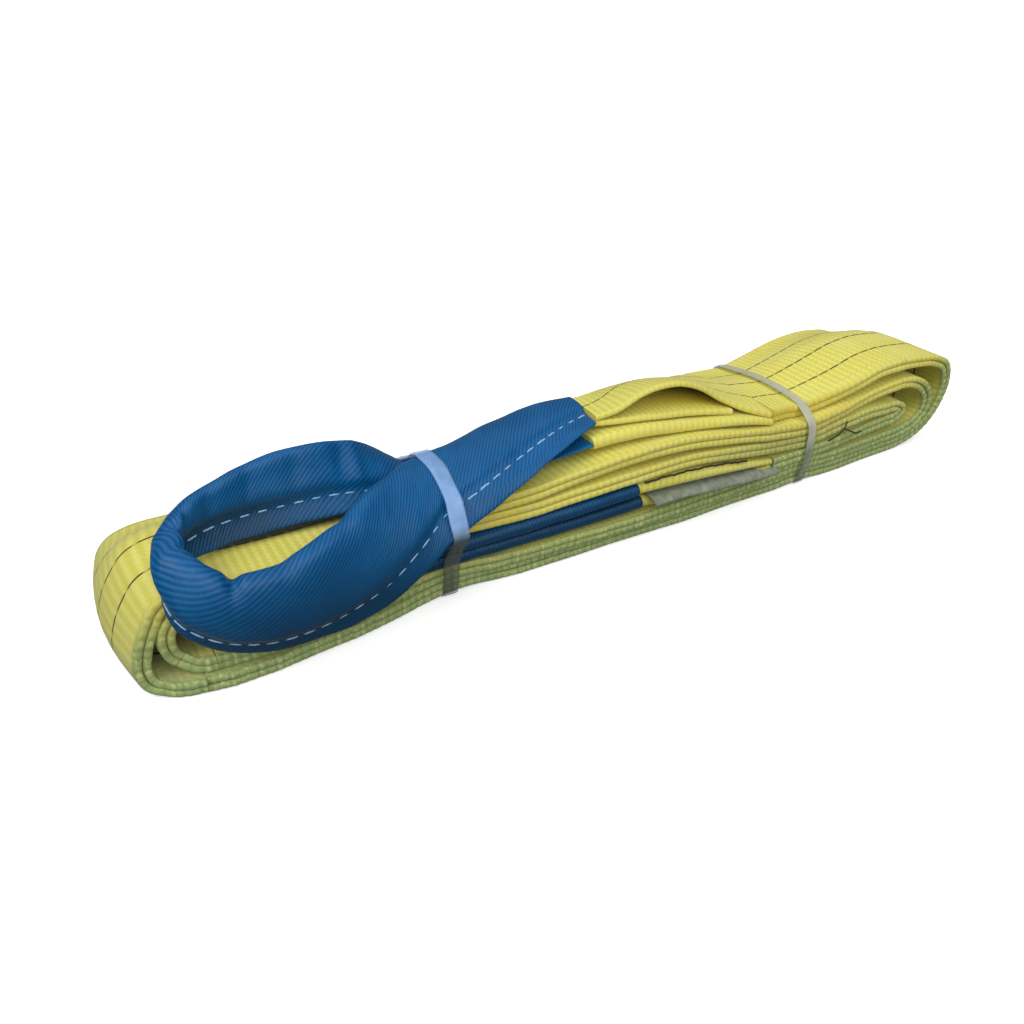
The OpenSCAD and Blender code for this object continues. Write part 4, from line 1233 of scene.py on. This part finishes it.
def sew(name, lines, tree, pitch, length, radius, arch=0.0004):
    """Stitches along lines: each line is points in millimetres and directions out."""
    mesh = bpy.data.meshes.new(name + "_line")
    spots = []
    ways = []
    edges = []
    for points, outs in lines:
        base = len(spots)
        spots += [tuple(p) for p in to_frame(points)]
        ways += [tuple(v) for v in outs]
        edges += [(base + i, base + i + 1) for i in range(len(points) - 1)]
    mesh.from_pydata(spots, edges, [])
    direction = mesh.attributes.new("out", "FLOAT_VECTOR", "POINT")
    direction.data.foreach_set("vector", np.array(ways, dtype=np.float32).ravel())
    line = add_object(name + "_line", mesh)
    sewing = line.modifiers.new("sewing", "NODES")
    sewing.node_group = tree
    values = {"Pitch": pitch, "Stitch length": length, "Thread radius": radius, "Arch": arch}
    for item in tree.interface.items_tree:
        if item.in_out == "INPUT" and item.name in values:
            sewing[item.identifier] = values[item.name]
    bpy.context.view_layer.update()
    evaluated = line.evaluated_get(bpy.context.evaluated_depsgraph_get())
    made = bpy.data.meshes.new_from_object(evaluated)
    bpy.data.objects.remove(line)
    made.name = name
    for face in made.polygons:
        face.use_smooth = True
    piece = add_object(name, made)
    print(name, len(made.polygons), "faces")
    return piece


FROM_EDGE = 1.7
LIFT = 1.0


def seam_lines(rows):
    """Both sides of the flange of a sleeve, a little in from its cut edge. They start and
    end inside the mouths of the sleeve."""
    c = smooth_path(rows, 2.0, leg_middle)[0]
    middle, side, out, half = frames_of(c)
    place = -half + c[:, 8] - FROM_EDGE
    swell = c[:, 7] * (1 - (place / half) ** 2)
    core = middle + side * place[:, None] + out * swell[:, None]
    keep = slice(2, len(core) - 5)
    core = core[keep]
    out = out[keep]
    return [(core + out * LIFT, out), (core - out * LIFT, -out)]


# %% Sew the sleeves
PITCH = 0.008
RADIUS = 0.00045

pale_tree = stitch_tree(pale_thread)
upper_lines = seam_lines(upper_eye_rows)
upper_seam = sew("upper_eye_seam_thread", upper_lines, pale_tree, PITCH, 0.0058, RADIUS)
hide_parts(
    "upper_eye_loop_seam", "upper_eye_top_leg_seam", "upper_eye_under_leg_seam"
)
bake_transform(upper_seam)
lower_lines = seam_lines(lower_eye_rows)
lower_seam = sew("lower_eye_seam_thread", lower_lines, pale_tree, PITCH, 0.0050, RADIUS)
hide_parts("lower_eye_seam")
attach(lower_seam, "bundle")

# %% [markdown]
# ## Splice and label
#
# Where the eye legs end, rows of stitches join them to the body. Their thread is nearly
# the colour of the webbing. A plain grey label tape lies between the bare legs of the
# lower eye. It carries no words: a real one states the load, and that belongs to its
# maker.

# %% Splice stitches
cream_tree = stitch_tree(cream_thread)
top_rows = np.array(runs["top_run"], float)
c = smooth_path(top_rows, 2.0, strip_middle)[0]
near, far = both_edges(c)
splice_rows = []
picked = (c[:, 0] > 382) & (c[:, 0] < 436)
for u in (0.08, 0.36, 0.64, 0.92):
    x, y, z = across_point(c, near, far, u, PLY + GAP / 2 + 0.15)
    line = np.column_stack([x, y, z])[picked]
    splice_rows.append((line, np.tile([0.0, 0.0, 1.0], (len(line), 1))))
splice = sew(
    "upper_splice_thread", splice_rows, cream_tree,
    pitch=0.0045, length=0.0030, radius=0.0003, arch=0.0002,
)
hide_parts("upper_splice_stitches")
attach(splice, "bundle")

# %% Label tape
label_tape, tree = new_material("grey woven label tape")
strip = node(tree, "ShaderNodeUVMap", uv_map="strip")
grain = cloud(tree, strip, 260.0, 3.0)
grey = ramp(tree, grain, (0.35, "#6F7768"), (0.7, "#8F9684"))
weave = node(tree, "ShaderNodeTexVoronoi", {"Vector": strip, "Scale": 1400.0})
raised = bump(tree, weave, 0.3, 0.0002)
surface(tree, Base_Color=grey, Roughness=0.6, Normal=raised, Sheen_Weight=0.2)

TAPE = 0.76
# Place along, height, where the inner edge is and how far the near edge is drawn in. The
# free edge hangs down at the near side. Towards the right its grey is partly painted
# shade: it stands for the shade under the top bare leg as well as the tape.
label_rows = np.array([
    [256, 25, 18, 0], [276, 24.7, 18, 0], [296, 23.4, 18, 0], [310, 22.1, 18, 0.2],
    [322, 21, 18, 0.8], [329, 20.5, 14, 1.2], [333, 20.3, -6.4, 1.2], [344, 19.8, -6.4, 1.2]
])
fall = np.array([[18, 0], [4, 0], [-5, 0], [-8.5, -0.1], [-10.2, -0.7], [-11, -1.8], [-11.2, -3]])
sides, down = smooth_path(fall, 1.0, np.array)[0:2]
outwards = left_of(sides)
x = np.linspace(label_rows[0, 0], label_rows[-1, 0], 70)
z, inner_y, back = (np.interp(x, label_rows[:, 0], label_rows[:, k]) for k in (1, 2, 3))
wave = 0.3 * np.sin(x / 6.0)[:, None] * np.clip(down - 20, 0, 6)[None, :] / 6
blocks = []
for off in (TAPE / 2, -TAPE / 2):
    y_part = sides[:, 0] + outwards[:, 0] * off
    z_part = sides[:, 1] + outwards[:, 1] * off
    block = np.empty((len(x), len(down), 3))
    block[:, :, 0] = x[:, None]
    block[:, :, 1] = np.minimum(y_part[None, :] + back[:, None], inner_y[:, None]) + wave
    block[:, :, 2] = z[:, None] + z_part[None, :]
    blocks.append(block)
points = np.concatenate([blocks[0], blocks[1][:, ::-1]], axis=1)
lengths = np.concatenate([down, down[::-1]])
label = skin("identity_label_tape", points, strip_uv(lengths, x), label_tape)
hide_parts("identity_label")
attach(label, "bundle")
print("label", round(down[-1]), "mm wide")

# %% [markdown]
# Two pieces of black thread hang loose. One lies along the near edge of the top bare leg
# of the lower eye. The other sticks out between the layers near the right end, in the
# shape of a V. Each is a thin tube with slight bends.

# %% Loose threads
SIDES = 8


def thread_tube(points, radius):
    """Sections of a round thread through points in millimetres."""
    path, at = smooth_path(points, 0.8, np.array)[0:2]
    d = heading(path)
    side = np.cross(d, [0.0, 1.0, 0.0])
    side /= np.linalg.norm(side, axis=1)[:, None]
    up = np.cross(side, d)
    turn = np.linspace(0, 2 * math.pi, SIDES, endpoint=False)
    turn_to = turn[None, :, None]
    ring = np.cos(turn_to) * side[:, None, :] + np.sin(turn_to) * up[:, None, :]
    return path[:, None, :] + ring * radius, strip_uv(turn, at)


thread_rows = [
    [251.5, -7, 35.4], [261, -7.6, 35.9], [273, -7.8, 35.6], [287, -7.6, 34.7], [300, -7, 33.1],
    [313, -6.6, 30.9], [322, -6.2, 29.2]
]
points, uv = thread_tube(thread_rows, 0.55)
points[:, :, 2] += 0.2 * np.sin(points[:, :, 0] / 2.3) + 0.15 * np.sin(points[:, :, 0] / 0.9)
long_thread = skin("black_thread_along_leg", points, uv, black_thread)
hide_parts("black_thread")
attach(long_thread, "bundle")
ends = []
end_rows = [
    [[388, -3.6, 24], [393, -4.6, 26.5], [398, -5.0, 31], [400, -4.2, 34]],
    [[399, -4.6, 29.5], [404, -5.0, 27], [409, -4.8, 24.5], [415, -3.6, 24]],
]
for number, bends in enumerate(end_rows, 1):
    points, uv = thread_tube(bends, 0.42)
    ends.append(skin(f"thread_end_{number}", points, uv, black_thread))
for piece in ends:
    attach(piece, "bundle")
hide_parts("thread_tail")
print("threads:", 1 + len(ends))

# %% [markdown]
# ## Ties
#
# The two ties are narrow bands of clear film, welded into rings round the bundle. Film
# like this is a little milky: it shows what is under it, greyed. It is modelled as a
# thin closed band with soft creases, and shaded as a mix of clear and pale surface.

# %% Clear films
def film_material(name, code, low_code, clear_below):
    """Thin milky film with soft wrinkles. code is the colour of the milk in it, low_code
    its colour near the floor, a painted shade, and clear_below the height where it
    turns clearer."""
    film, tree = new_material(name)
    spot = node(tree, "ShaderNodeTexCoord")
    wrinkle = cloud(tree, spot.outputs["Object"], 190.0, 3.0)
    place = node(tree, "ShaderNodeSeparateXYZ", {0: spot.outputs["Object"]})
    high = span(tree, place.outputs[2], clear_below - 0.004, clear_below + 0.004, 0.0, 1.0)
    colour = mix(tree, high, linear(low_code), linear(code))
    milk = span(tree, wrinkle, 0.3, 0.7, 0.48, 0.62)
    milk = product(tree, milk, span(tree, high, 0.0, 1.0, 0.75, 1.0))
    dent = bump(tree, wrinkle, 0.3, 0.0006)
    surface(tree, Base_Color=colour, Roughness=0.3, Normal=dent, Alpha=milk, IOR=1.5)
    return film


# The left tie's milk is painted blue, for the light it takes from the blue sleeve under it
blue_lit_film = film_material("polyethylene film with painted blue light", "#9CC6FA", "#6B7268", 0.0445)
grey_film = film_material("greyish polyethylene film", "#C9CABC", "#9A9E92", 0.026)


# %% Bands round the bundle
left_ring = [
    [0, 0.02], [-2.4, 0.8], [-5.4, 14], [-6.4, 24], [-17.4, 39.6], [-19.2, 43], [-17.8, 47],
    [-11.8, 59], [-8, 61.6], [3, 67], [10, 68.6], [22, 68.6], [28.6, 66.4], [33, 62.6], [40, 59.2],
    [47.6, 56.6], [50.4, 52.8], [66, 42.6], [80, 35.8], [88.4, 32.4], [90.4, 29.6], [90.4, 3],
    [89, 0.02]
]
right_ring = [
    [-1.2, 0.02], [-3, 1.2], [-5.2, 9], [-6.4, 15], [-6.8, 32], [-6.2, 38.6], [-3.4, 42.6],
    [4, 48.5], [14, 50.8], [28, 51.6], [44, 51.4], [58, 50], [69, 48.4], [76.6, 47.2], [79.2, 44],
    [79.2, 3], [77.2, 0.02]
]


FILM = 0.45
TIE_STEP = 1.5


def build_tie(name, outline, x, width, seed, node_name, film, settle=0.0):
    """A closed band: the ring runs round the bundle, the section is a thin rounded strip.
    The film settles by that many mm onto the lower far half of the sleeve."""
    ring = rounded(outline)[::-1]
    closed = np.vstack([ring, ring[:1]])
    run = np.append(0, np.cumsum(np.linalg.norm(np.diff(closed, axis=0), axis=1)))
    count = int(run[-1] / TIE_STEP)
    at = np.linspace(0, run[-1], count, endpoint=False)
    y = np.interp(at, run, closed[:, 0])
    z = np.interp(at, run, closed[:, 1])
    z = z - settle * np.clip(1 - np.abs(y - 44) / 18, 0, 1) * (z > 45)
    dy = np.roll(y, -1) - np.roll(y, 1)
    dz = np.roll(z, -1) - np.roll(z, 1)
    size = np.hypot(dy, dz)
    out_y = dz / size
    out_z = -dy / size
    if out_z[np.argmax(z)] < 0:
        out_y = -out_y
        out_z = -out_z
    # The band runs a little to and fro, and is drawn together here and there
    rng = np.random.default_rng(seed)
    round_once = at / run[-1] * 2 * math.pi
    waves = (np.sin(round_once * n + rng.uniform(0, 6.3)) / n for n in (2, 3, 5, 8))
    shift = sum(waves) * 0.5
    pinch = 1 + 0.05 * np.sin(round_once * 9 + 1.0)
    outer = [(s, 0.0 - 0.12 * abs(s) ** 3) for s in np.linspace(-1, 1, 9)]
    inner = [(s, -FILM - 0.05 * abs(s) ** 3 - 0.4 * settle) for s in np.linspace(1, -1, 9)]
    section = outer + inner
    points = np.empty((count, len(section), 3))
    for k, (s, off) in enumerate(section):
        crease = 0.12 * np.sin(at / 3.1 + 2.5 * s) * (1 if k < 9 else 0.6)
        points[:, k, 0] = x + shift + s * width / 2 * pinch
        points[:, k, 1] = y + out_y * (off + crease)
        points[:, k, 2] = np.maximum(z + out_z * (off + crease), 0.0)
    points = np.concatenate([points, points[:1]])
    across = np.array([s for s, off in section]) * width / 2
    piece = skin(name, points, strip_uv(across, np.append(at, run[-1])), film, False)
    work = bmesh.new()
    work.from_mesh(piece.data)
    bmesh.ops.remove_doubles(work, verts=work.verts, dist=1e-6)
    bmesh.ops.recalc_face_normals(work, faces=work.faces)
    work.to_mesh(piece.data)
    work.free()
    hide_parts(node_name)
    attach(piece, "bundle")
    print(name, round(run[-1]), "mm round")


build_tie("left_film_tie", left_ring, LEFT_TIE, 8.0, 3, "left_tie", blue_lit_film, settle=1.8)
build_tie("right_film_tie", right_ring, RIGHT_TIE, 6.0, 4, "right_tie", grey_film)
